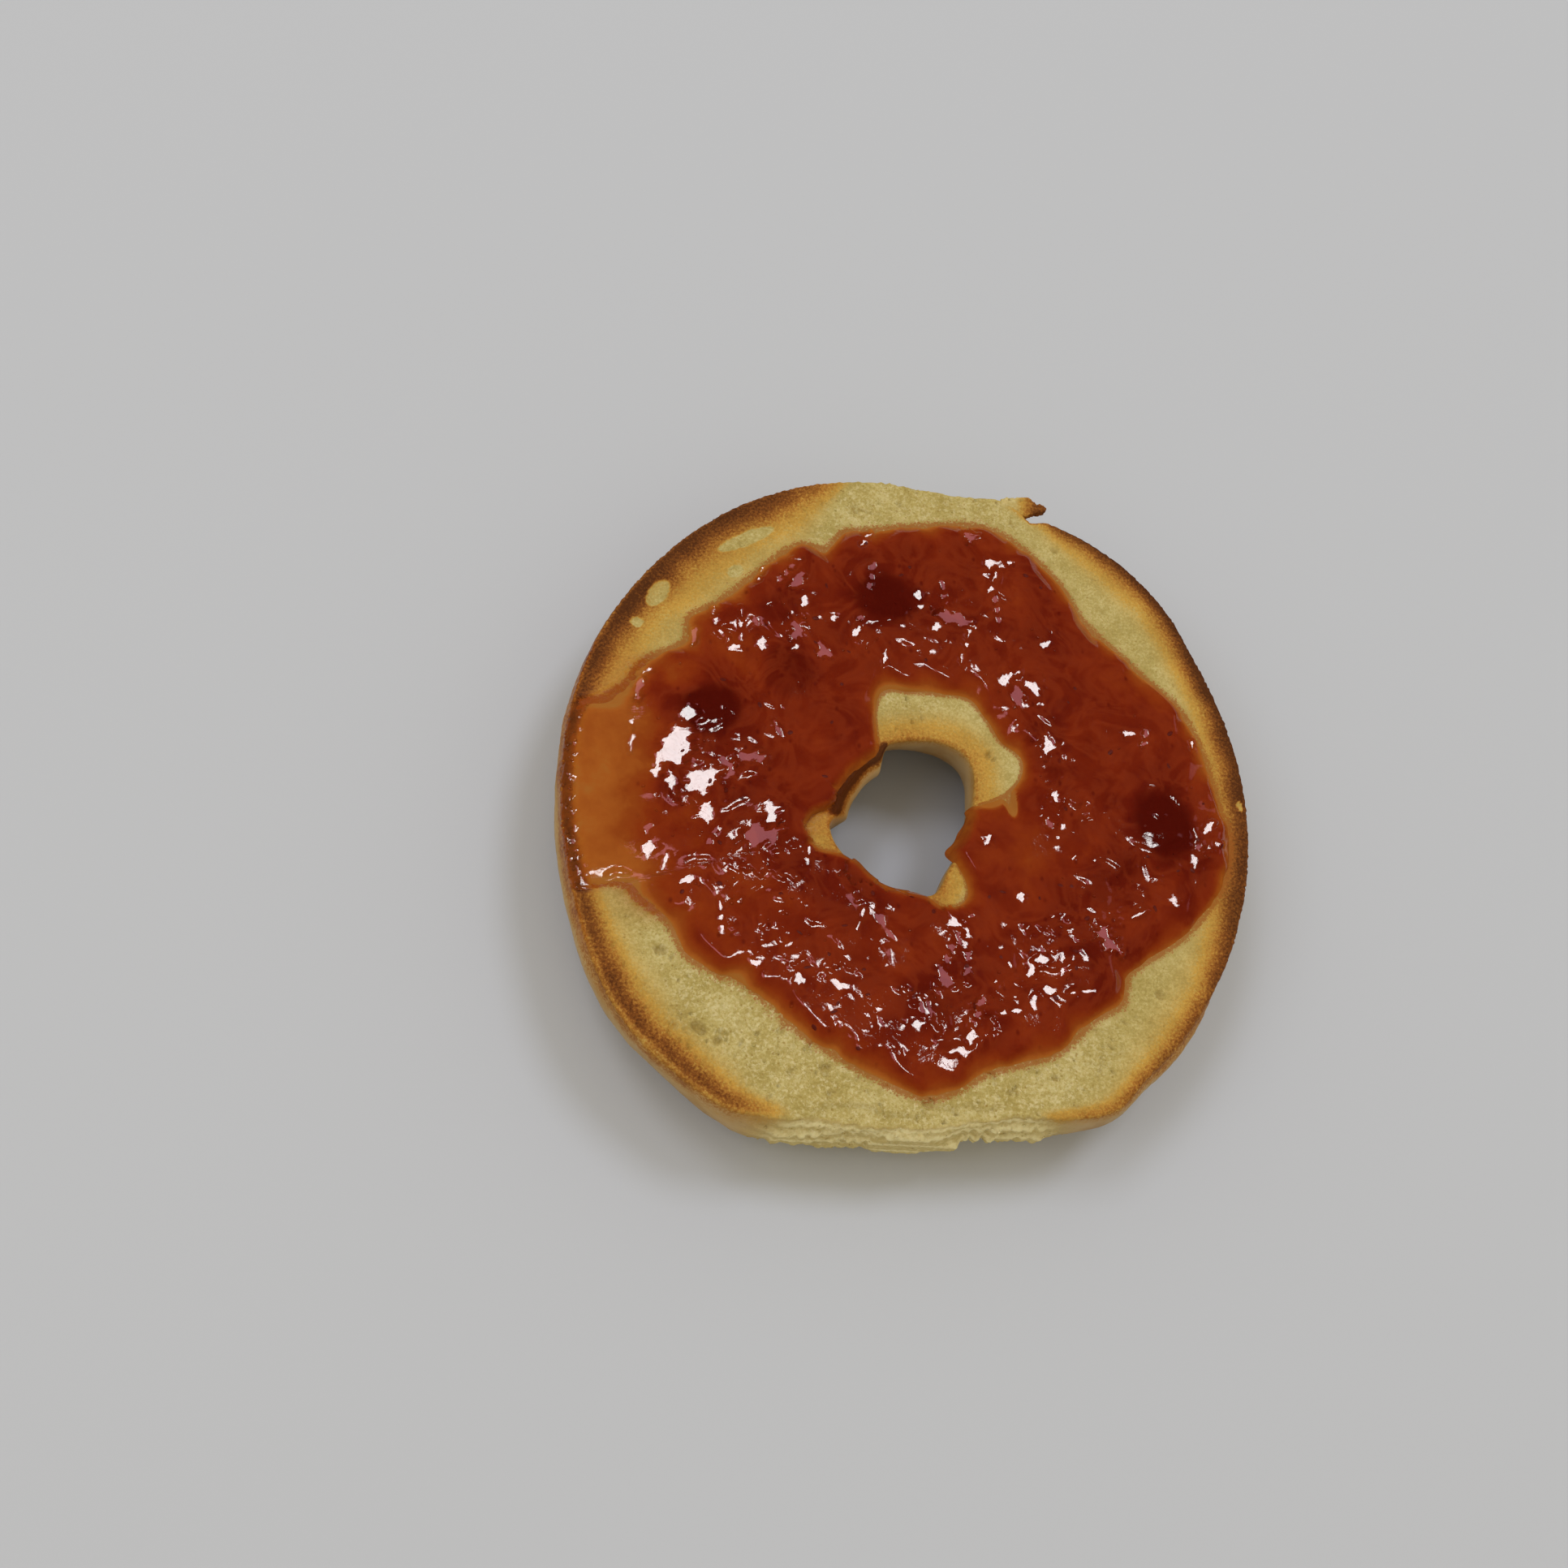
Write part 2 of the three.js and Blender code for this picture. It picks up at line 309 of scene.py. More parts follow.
outlines = {
    "thickness": 16.0,  # from the base to the cut face
    "press": 0.15,  # how far the round crust is pressed flat
    "holeCentre": (-1.5, -4.3),
    "tornSides": ((68, 100), (246, 293)),  # where the neighbours were pulled off
    "tornFade": 5.0,  # degrees
    # each outline is a run of (degrees, distance from its middle)
    "rim": (
        (0, 52.4), (20, 52.4), (30, 52.8), (38, 53.8), (47, 54.2), (56, 53.8), (62, 53.2), (68, 52.6),
        (74, 53.0), (80, 51.6), (90, 51.5), (100, 52.2), (118, 52.3), (140, 51.8), (160, 51.9), (180, 52.2),
        (195, 53.2), (206, 54.4), (214, 55.8), (222, 57), (232, 57.2), (242, 56.9), (248, 54.8),
        (257, 52.5), (268, 51.5), (280, 50.8), (286, 51.3), (292, 53.2), (300, 55.2), (308, 54.0),
        (320, 53.3), (335, 52.8), (350, 52.5),
    ),
    "hole": (
        (0, 10), (22, 11.3), (36, 12.8), (46, 13.3), (62, 12.7), (78, 11.6), (94, 10.9), (120, 10.3),
        (150, 10.2), (176, 11.1), (205, 12.1), (230, 12), (252, 12.6), (270, 12.8), (288, 13.2),
        (303, 10.8), (318, 9.9), (340, 9.9),
    ),
    "jamOuter": (
        (0, 48), (20, 46), (30, 43), (46, 41.2), (56, 44), (73, 47.2), (86, 44.8), (97, 43.3), (104, 43.2),
        (109, 41), (114, 42.7), (126, 41.1), (137, 40.7), (145, 42.2), (150, 40.6), (158, 44.2),
        (163.7, 45.3), (165.9, 46.5), (167.8, 47.8), (169.2, 49.8), (170.6, 51.2), (175, 51.4), (188, 52.1),
        (200.5, 52.8), (202.2, 51.9), (203, 50), (203.6, 47.8), (205, 46.4), (207.5, 45.8), (210.5, 44.6),
        (214, 43.8), (221, 44.4), (233, 41.6), (246, 42.9), (258, 44.8), (271, 47.3), (283, 44.3),
        (296, 44.6), (306, 43.2), (313, 44), (319, 41.9), (332, 45.6), (346, 49.2), (355, 49.4),
    ),
    "jamInner": (
        (0, 9.2), (8, 10), (14, 15.2), (20, 18.4), (28, 20), (40, 19), (51, 20), (62, 21.1), (74, 19.8),
        (86, 19), (99, 18.8), (105, 15.8), (111, 10.2), (128, 9), (150, 9.3), (170, 10.3), (183, 11.4),
        (189, 14.4), (195, 15.6), (207, 14.8), (217, 12.2), (230, 11), (250, 12), (266, 12.2), (281, 13.1),
        (290, 15.4), (301, 15.7), (308, 13.6), (313, 9.4), (320, 8.2), (340, 8.6), (350, 8.9),
    ),
}
holeCentre = np.array(outlines["holeCentre"])
faceHeight = outlines["thickness"]


def between(degrees, first, last, soft):  # 1 from one angle to another
    return rise(degrees, first - soft, first + soft) * (1 - rise(degrees, last - soft, last + soft))


def tornShare(degrees):  # 1 on a torn side, 0 on crust
    shares = [between(degrees, first, last, outlines["tornFade"]) for first, last in outlines["tornSides"]]
    return np.maximum(*shares)


def crossing(degrees, outerRadius, innerRadius):  # where a ray meets the two outlines
    along = direction(degrees)
    outer = along * outerRadius[:, None]
    inner = along * innerRadius[:, None] + holeCentre
    return outer, inner, np.linalg.norm(outer - inner, axis=1)


def anglesOf(x, y):  # seen from the middle of the bagel and from the middle of the hole
    return (
        np.mod(np.degrees(np.arctan2(y, x)), 360),
        np.mod(np.degrees(np.arctan2(y - holeCentre[1], x - holeCentre[0])), 360),
    )


def gapsTo(outer, inner, x, y):  # distances in from an outer outline and out from an inner one
    degrees, holeDegrees = anglesOf(x, y)
    fromHole = np.hypot(x - holeCentre[0], y - holeCentre[1])
    return knotCurve(outer, degrees) - np.hypot(x, y), fromHole - knotCurve(inner, holeDegrees)


def crustGaps(x, y):
    return gapsTo(outlines["rim"], outlines["hole"], x, y)


# rings of points, stacked and joined into a closed mesh

def stripFaces(startA, countA, startB, countB):  # faces between two rings, of equal count or one the double
    near = np.arange(min(countA, countB))
    far = (near + 1) % len(near)
    if countA == countB:
        strips = [np.stack([startA + near, startB + near, startB + far, startA + far], axis=1)]
    elif countA > countB:
        fine = [startA + (2 * near + step) % countA for step in range(3)]
        low, high = startB + near, startB + far
        strips = [np.stack(corners, axis=1) for corners in (
            (fine[0], low, fine[1]), (fine[1], low, high), (fine[1], high, fine[2]))]
    else:
        fine = [startB + (2 * near + step) % countB for step in range(3)]
        low, high = startA + near, startA + far
        strips = [np.stack(corners, axis=1) for corners in (
            (low, fine[0], fine[1]), (low, fine[1], high), (high, fine[1], fine[2]))]
    return [face for strip in strips for face in strip.tolist()]


def ringMesh(name, rings):  # each ring is a dictionary of its points and of what they carry
    counts = [len(ring["points"]) for ring in rings]
    starts = np.cumsum([0] + counts).tolist()
    faces = []
    for i, count in enumerate(counts):
        after = (i + 1) % len(rings)
        faces += stripFaces(starts[i], count, starts[after], counts[after])
    joined = {
        key: np.concatenate([np.broadcast_to(ring[key], count) for ring, count in zip(rings, counts)])
        for key in rings[0] if key != "points"
    }
    points = np.concatenate([ring["points"] for ring in rings])
    mesh = bpy.data.meshes.new(name)
    mesh.from_pydata((points * mm).tolist(), [], faces)
    mesh.shade_smooth()
    return mesh, points, joined


# bread

breadShape = {
    "inset": 0.15,  # how far the rim keeps inside the outline
    "rimRound": 0.6,
    "holeRound": 0.8,
    "sideFullness": 3.4,  # squareness of the crust side: 2 is an ellipse
    "tornFullness": 7.0,
    "holeFullness": (2.5, 0.55, -35),  # mean, swing and the degrees where it is squarest
    "holeBulge": (108, 190, 8, 3.5),  # degrees from, to and fading, how far the wall bulges in
    "holeBurnt": (104, 188, 4, 1.4, 0.9, 0.17),  # degrees from, to and fading, how dark, how deep, dark below; toast darkened further by painted shade under the jam's lip
    "shelves": ((1.0, 0.4), (2.6, 0.5), (5.2, 0.5), (8.5, -0.7)),  # torn layers: depth, reach
    "shelfWander": 0.32,  # how far a layer's depth wanders
    "shelfRagged": 0.1,
    "shelfEdge": 0.25,  # half the height over which a layer steps out
    "shelfLip": (0.35, 0.5),  # how far below the step its lip lies, and the lip's half width; the lip is painted lighter, as a painted highlight
    "crustRelief": 0.2,
    "swells": ((186, 32, 0.6), (249, 13, 0.9), (270, 12, 0.6), (311, 17, 1.4)),  # degrees, spread, bulge
    "swellDepth": 5.0,
    "raggedRim": 0.05,  # ripple of the toasted edge
    "raggedTear": 0.16,  # the same on a torn side
    "notch": (66.6, 1.5, 1.2),  # degrees, half its width in degrees, depth
    "ledge": (252, 284, 2.5, 0.7),  # degrees from and to, width of the lowered strip, drop
    "roughSides": ((215, 305, 12, 1.0), (70, 115, 6, 0.7)),  # coarse crumb: degrees, fade, how coarse
    "glazed": (157, 212, 3),  # degrees from, to and fading where jam ran over the rim
    "stations": 960,  # points round the rim
    "step": 0.38,  # between rings where the crumb is bare
    "covered": (10.5, 13),  # from the hole and from the rim: jam hides the crumb between
    "sideRings": 57,
    "fineTo": 13,  # depth above which the side's rings have every point
    "edgeTurns": (24, 48, 70),  # degrees round the rim's edge
    "baseRings": 14,
    "wallRings": 30,
    "wallEdges": (0.5, 0.25, 0.08),  # depths of the rings round the hole's edge
    "far": 99,  # stands for any distance off the face
}

# torn crumb that hangs on at a side: degrees where it ends, its length in degrees, depth, height, bulge
wallLumps = (
    (276.6, 15, 8.5, 3.4, 1.0), (262, 9, 11.5, 2.0, 0.7), (292, 6, 6.0, 3.0, 0.5), (92, 12, 7.0, 3.0, 0.5),
)
# smooth dents where a bubble touched the cut: x, y, length, width, turn, depth
bubbleDents = (
    (-39, 28, 5.6, 3.0, 58, 0.45), (-42, 22.7, 2.2, 1.8, 0, 0.3), (-25.7, 38.8, 10.5, 2.4, 30, 0.2),
    (51.1, 0.5, 1.0, 2.0, 10, 0.15), (-27.3, 32.9, 2.8, 1.8, 40, 0.15),
)
# open pores that the knife cut through
largePores = (
    (11.5, 5.6, 1.6, 1.1, 60, 0.7), (12.3, 5.0, 0.9, 0.8, 0, 0.5), (-31.6, -38.9, 2.6, 1.6, -35, 0.9),
    (-37.2, -28.1, 2.2, 1.3, -20, 0.8), (35.6, -30.3, 1.3, 1.6, 20, 0.6), (-29, -40.5, 1.5, 1.0, 20, 0.6),
    (24, 42.2, 1.3, 0.8, -20, 0.5), (19, -43.3, 1.3, 0.9, 10, 0.6), (0.5, -48.0, 2.2, 1.1, -10, 0.8),
    (-14, -43.5, 2.0, 1.0, 15, 0.7),
)

# degrees, how dark the toast is, width of its dark band and of its golden band, how far in it is darkest
toastKnots = (
    (0, 1.02, 3.1, 6, 0.6), (20, 1.08, 2.6, 5.5, 0.3), (35, 1.16, 2.3, 5.5, 0), (50, 1.08, 2.1, 6, 0),
    (60, 0.82, 1.8, 5, 0.2), (66, 0.5, 1, 4, 0.3), (73, 0.12, 1, 3, 0.5), (99, 0.1, 1, 3, 0.5),
    (106, 0.6, 2.4, 7, 0.6), (115, 0.9, 3.3, 10.5, 0.7), (130, 1.0, 3.4, 11, 0.7), (150, 1.0, 3.1, 10, 1.2),
    (163, 0.9, 2.4, 8, 1.2), (172, 0.85, 1.3, 4, 1), (185, 0.8, 1.1, 3.5, 1), (200, 0.82, 1.5, 4.5, 1.2),
    (212, 0.82, 1.9, 7, 1.5), (222, 0.84, 1.8, 7.5, 1.7), (232, 0.82, 1.8, 7, 1.6),
    (240, 0.7, 1.6, 6.5, 1.3), (246, 0.35, 1.5, 4, 1), (252, 0.05, 1, 3, 0.7), (286, 0.05, 1, 3, 0.7),
    (292, 0.3, 1.2, 3, 0.5), (299, 0.46, 1.2, 5, 0.5), (310, 0.6, 1.5, 6.5, 0.4), (325, 0.72, 1.9, 7, 0.4),
    (342, 0.95, 2.9, 6.5, 0.6),
)
toastRim = 1.1  # width of the darkening outside the darkest line
holeToast = {"dark": 0.38, "width": 4.8, "line": 0.08, "lineWidth": 0.4}


def drawnIn(depth, fullness):  # how far a side has drawn in at a depth, as a share of half the section
    reach = np.clip(depth / (faceHeight + outlines["press"]), 0, 1)
    return (1 - reach**fullness) ** (1 / fullness)


def wallFullness(degrees):
    mean, swing, middle = breadShape["holeFullness"]
    return mean + swing * direction(degrees - middle)[:, 0]


def tornShelves(degrees, depth):  # how far the torn layers stand out at a depth, and where their lips are
    stand = np.zeros(len(degrees))
    lips = np.zeros(len(degrees))
    for i, (level, reach) in enumerate(breadShape["shelves"]):
        tatters = ragged(degrees, 50, 230, 50 + i)
        edge = level + breadShape["shelfWander"] * (ragged(degrees, 3, 18, 30 + i) + 0.25 * tatters)
        far = reach * (1 + 0.5 * ragged(degrees, 4, 26, 40 + i)) + breadShape["shelfRagged"] * tatters
        stand += far * rise(depth, edge - breadShape["shelfEdge"], edge + breadShape["shelfEdge"])
        lips = np.maximum(lips, hump(depth - edge, *breadShape["shelfLip"]))
    return stand, lips


def sideRelief(degrees, depth):  # torn layers of crumb, shallow folds of crust, swells of the side
    torn = tornShare(degrees)
    angle = np.radians(degrees)
    fold = np.sin(7 * angle + 0.25 * depth) + 0.5 * np.sin(13 * angle - 0.4 * depth)
    ledges = (tornShelves(degrees, depth)[0] - 0.4) * torn
    folds = breadShape["crustRelief"] * fold * (1 - torn)
    belly = sum(bulge * hump(degrees, middle, spread) for middle, spread, bulge in breadShape["swells"])
    level = hump(depth, breadShape["swellDepth"], breadShape["swellDepth"])
    return rise(depth, 0.5, 3) * (ledges + folds) + belly * level * rise(depth, 0, 2)


def evenDepths(count, fullness):  # depths that space the rings of a round side evenly
    turn = np.linspace(0, np.pi / 2, 600)
    reach = np.sin(turn) ** (2 / fullness)
    depth = reach * (faceHeight + outlines["press"])
    across = 20 * np.cos(turn) ** (2 / fullness)
    length = np.concatenate([[0], np.cumsum(np.hypot(np.diff(depth), np.diff(across)))])
    lowest = np.interp(faceHeight, depth, length)
    return np.interp(np.linspace(0, lowest, count), length, depth)


def roundedIn(depth, radius):  # how far a rounded edge stands back just below the face
    below = np.clip(radius - depth, 0, radius)
    return radius - np.sqrt(radius**2 - below**2)


def breadRing(count, kind, value):
    shape = breadShape
    degrees = np.arange(count) * 360 / count
    torn = tornShare(degrees)
    tatters = ragged(degrees, 12, 60, 12) + 0.4 * ragged(degrees, 60, 200, 13)
    uneven = shape["raggedRim"] * ragged(degrees, 30, 440, 11) + shape["raggedTear"] * tatters * torn
    middle, spread, bite = shape["notch"]
    lowness = value / 4 if kind == "side" else 1.0 if kind in ("base", "wall") else 0.0
    notch = bite * np.exp(-(((degrees - middle) / spread) ** 2) - lowness)
    rimRadius = knotCurve(outlines["rim"], degrees) - shape["inset"] - notch
    outer, inner, width = crossing(degrees, rimRadius, knotCurve(outlines["hole"], degrees))
    depth = {"base": faceHeight, "face": 0.0}.get(kind, value)
    outward = 0.5 + 0.5 * drawnIn(depth, mix(shape["sideFullness"], shape["tornFullness"], torn))
    inward = 0.5 - 0.5 * drawnIn(depth, wallFullness(degrees))
    upper = 1 - (depth / faceHeight) ** 6
    if kind == "side":
        relief = sideRelief(degrees, depth) * upper
        relief += uneven * np.exp(-depth / 3) - roundedIn(depth, shape["rimRound"])
        for last, length, level, height, bulge in wallLumps:
            first = last - length
            across = rise(degrees, first, first + 2.5) * (1 - rise(degrees, last, last + 1.2))
            relief += bulge * across * np.exp(-(((depth - level) / height) ** 4))
        share = outward + relief / width
    elif kind == "wall":
        first, last, soft, swell = shape["holeBulge"]
        bulge = swell * between(degrees, first, last, soft) * rise(depth, -2, 3.5) * upper
        share = inward + (roundedIn(depth, shape["holeRound"]) - bulge) / width
    elif kind == "base":
        share = mix(outward, inward, value)
    else:
        fromHole, fromRim, part = value
        nearRim = 1 - (fromRim - uneven * np.exp(-fromRim / 1.5)) / width
        share = mix(fromHole / width, nearRim, part)
    spots = inner + (outer - inner) * share[:, None]
    return {
        "points": np.column_stack([spots, np.full(count, faceHeight - depth)]),
        "degrees": degrees,
        "depth": depth,
        "lip": tornShelves(degrees, depth)[1] if kind == "side" else 0.0,
        "kind": "face side wall base".split().index(kind),
    }


def breadRings():
    shape = breadShape
    many, half, quarter = (shape["stations"] // part for part in (1, 2, 4))
    edge, holeEdge, step = shape["rimRound"], shape["holeRound"], shape["step"]
    nearHole, nearRim = shape["covered"]
    sideDepths = evenDepths(shape["sideRings"], shape["sideFullness"])
    fine = sum(sideDepths < shape["fineTo"])
    wallDepths = evenDepths(shape["wallRings"], shape["holeFullness"][0])[::-1]
    plan = [(many, "side", edge * (1 - np.cos(turn))) for turn in np.radians(shape["edgeTurns"])]
    plan += [(many, "side", depth) for depth in sideDepths[:fine] if depth > edge]
    plan += [(half, "side", depth) for depth in sideDepths[fine::2]]
    plan += [(quarter, "base", part) for part in np.linspace(0.06, 0.94, shape["baseRings"])]
    plan += [(quarter, "wall", depth) for depth in wallDepths if depth > holeEdge]
    plan += [(half, "wall", depth) for depth in shape["wallEdges"]]
    plan += [(half, "face", (gap, 0, 0)) for gap in np.arange(holeEdge, nearHole, step)]
    plan += [(half, "face", (nearHole, nearRim, part)) for part in np.linspace(0.08, 0.92, 9)]
    plan += [(many, "face", (0, gap, 1)) for gap in np.arange(nearRim, edge, -step)]
    plan += [(many, "face", (0, edge, 1))]
    return [breadRing(*row) for row in plan]


def rimToast(degrees, gap):
    dark, darkWidth, goldWidth, inset = (knotCurve(toastKnots, degrees, column) for column in (1, 2, 3, 4))
    away = gap - inset
    band = np.exp(-((away / np.where(away > 0, darkWidth, toastRim)) ** 2))
    gold = 0.4 * (1 - 0.55 * rise(inset, 0.8, 1.7) * rise(-away / np.maximum(inset, 0.1), 0, 1))
    return dark * (0.6 * band + gold * np.exp(-((gap / goldWidth) ** 1.6)))


def sideToast(degrees, depth):
    dark, inset = (knotCurve(toastKnots, degrees, column) for column in (1, 4))
    edge = 0.6 * np.exp(-((inset / toastRim) ** 2))
    brown = (0.5 + 0.25 * rise(depth, 0, 1.5)) * np.exp(-depth / 5)
    return dark * (edge * np.exp(-((depth / 1.2) ** 1.3)) + brown)


def holeToasting(gap):
    away = np.maximum(gap, 0)
    band = holeToast["dark"] * np.exp(-((away / holeToast["width"]) ** 1.4))
    return band + holeToast["line"] * np.exp(-((away / holeToast["lineWidth"]) ** 2))


def breadPaint(points, values):  # what the bread's material and relief need to know at each point
    x, y = points.T[:2]
    depth = values["depth"]
    degrees = anglesOf(x, y)[0]
    face, side, wall = (values["kind"] == kind for kind in range(3))
    rimGap, holeGap = (np.where(face, np.maximum(gap, 0), breadShape["far"]) for gap in crustGaps(x, y))
    toast = np.where(side, sideToast(degrees, depth), rimToast(degrees, rimGap))
    toast += holeToasting(holeGap) * face
    # painted shade under the jam's lip darkens the top of the wall here, on top of its toast
    first, last, soft, dark, deep, lower = breadShape["holeBurnt"]
    burnt = mix(lower, dark, np.exp(-((depth / deep) ** 4)))
    scorchedAndShaded = between(values["degrees"], first, last, soft) * burnt
    toast += np.where(wall, np.maximum(holeToasting(depth * 1.5), scorchedAndShaded), 0)
    outerGap, innerGap = gapsTo(outlines["jamOuter"], outlines["jamInner"], x, y)
    cover = np.where(face, np.minimum(outerGap, innerGap), -1.0 - depth)
    inset = knotCurve(toastKnots, degrees, 4)
    shoulder = rise(inset, 0.8, 1.7) * (1 - rise(rimGap, 0.1, 1.2))  # crust that rounds onto the face
    torn = np.where(side, tornShare(degrees) * rise(depth, 0.1, 0.8), 0)
    rough = sum(coarse * between(degrees, *sides) for *sides, coarse in breadShape["roughSides"])
    runOver = between(degrees, *breadShape["glazed"]) * (face | (depth < 2.5))
    return {
        "toast": toast,
        "torn": torn,
        "crust": np.where(face, shoulder, (1 - torn) * rise(depth, -shoulder, 1.0)),
        "bare": np.where(face, 1 - rise(cover, -0.2, 0.6), 0),
        "soak": np.exp(np.minimum(outerGap, 0) / 0.7 + np.minimum(innerGap, 0) / 0.3) * face,
        "glaze": runOver * np.exp(-np.maximum(-cover, 0) / 2),
        "rough": rough * face,
        "lip": values["lip"],
        "under": depth / faceHeight,
    }


def dentFace(points, values):  # bubble dents and large pores sink into the face
    x, y, z = points.T
    face = values["kind"] == 0
    rimGap = crustGaps(x, y)[0]
    first, last, width, drop = breadShape["ledge"]
    line = width + 0.5 * np.sin(0.45 * x) + 0.25 * np.sin(1.3 * x)
    strip = between(anglesOf(x, y)[0], first, last, 3) * (1 - rise(rimGap, line - 0.5, line + 0.2))
    z = z - drop * strip * (face | (values["depth"] < 1.5)) * np.exp(-values["depth"])
    sunk = {"pale": np.zeros(len(points)), "pit": np.zeros(len(points))}
    for name, spots, flat, edge in (("pale", bubbleDents, 0.7, 1.15), ("pit", largePores, 0.3, 1.2)):
        for spot in spots:
            inside = (1 - rise(blob(x, y, spot), flat, edge)) * face
            sunk[name] = np.maximum(sunk[name], inside)
            z = z - spot[5] * inside
    return np.column_stack([x, y, z]), sunk


crumbRelief = {
    "Pore Size": 1.5 * mm,
    "Pore Depth": 0.34 * mm,
    "Pore Share": 0.255,
    "Pore Clusters": 0.16,  # how much more open some patches are
    "Grain Size": 0.9 * mm,
    "Grain Depth": 0.16 * mm,
    "Tear Size": 1.3 * mm,
    "Tear Depth": 0.5 * mm,
    "Blister Size": 0.7 * mm,
    "Blister Depth": 0.16 * mm,
    "Fold Size": 7.0 * mm,
    "Fold Depth": 0.35 * mm,
    "Seed": 3.0,
}


def crumbTree():
    tree, start = newTree("crumb_relief", crumbRelief)
    spot = seededSpot(start)
    bare, torn, toast, crust, rough, pit = carried(tree, "bare", "torn", "toast", "crust", "rough", "pit")
    crumb = calc("MAXIMUM", bare, torn)

    def waves(name, share, *how):  # noise up and down, as deep as its input says
        noise = minus(grain(spot, start[name + " Size"], *how), 0.5)
        return times(times(noise, share), times(start[name + " Depth"], 2.0))

    hollow = grain(spot, start["Pore Size"], 2.5, 0.6, 0.4)
    where = grain(spot, times(start["Pore Size"], 5.0), 1.0)
    limit = timesPlus(rough, 0.05, timesPlus(where, start["Pore Clusters"], start["Pore Share"]))
    pore = times(fade(minus(limit, hollow), 0.0, 0.09), times(crumb, fade(toast, 0.25, 0.7, 1.0, 0.25)))
    poreDrop = times(times(pore, timesPlus(rough, 0.8, 1.0)), start["Pore Depth"])
    fine = waves("Grain", times(crumb, timesPlus(rough, 1.6, 1.0)), 3.0, 0.6)
    tear = waves("Tear", torn, 4.0, 0.62, 0.6)
    blister = waves("Blister", calc("MINIMUM", toast, 1.0), 2.5, 0.55)
    fold = waves("Fold", crust, 2.0, 0.5)
    height = minus(plus(plus(fine, tear), plus(blister, fold)), poreDrop)
    relief = raised(start["Geometry"], height)
    endTree(stored(relief, "pit", calc("MAXIMUM", pit, pore)), start["Material"])
    return tree


breadColours = {name: tint(*shown) for name, shown in {
    "crumb": (177, 156, 91),
    "crumbDeep": (158, 137, 72),
    "crumbLight": (194, 176, 117),
    # lighter tufts of crumb, partly a painted highlight
    "litTuft": (209, 192, 140),
    "poreShade": (146, 118, 52),
    "torn": (228, 212, 156),
    # torn crumb in painted shade, below the layers' lips
    "tornInShade": (194, 172, 108),
    "gold": (184, 142, 62),
    "amber": (162, 108, 42),
    "brown": (126, 72, 26),
    "burnt": (84, 44, 16),
    "crust": (184, 154, 108),
    "crustDeep": (168, 130, 76),
    "tray": (156, 106, 56),
    "trayDeep": (128, 80, 40),
    "soak": (148, 84, 30),
    "glaze": (232, 170, 96),
}.items()}


breadLook = {  # pattern sizes in millimetres, then its finish
    "patches": 4.5,
    "grains": 0.7,
    "fibres": 0.42,
    "dimples": 1.5,
    "tufts": 0.6,
    "pores": 0.75,
    "poreBend": (0.5, 0.4),  # size and strength of the wobble in their outlines
    "speckles": 0.4,
    "clouds": 5.0,
    "crustPatches": 6.0,
    "crumbRoughness": 0.88,
    "crustRoughness": 0.52,
    "gloss": 0.15,
    "bump": (0.55, 0.22),  # strength and height
    "softness": (0.12, (1.0, 0.62, 0.3), 1.2),  # how much light goes in, its colour and how deep
}


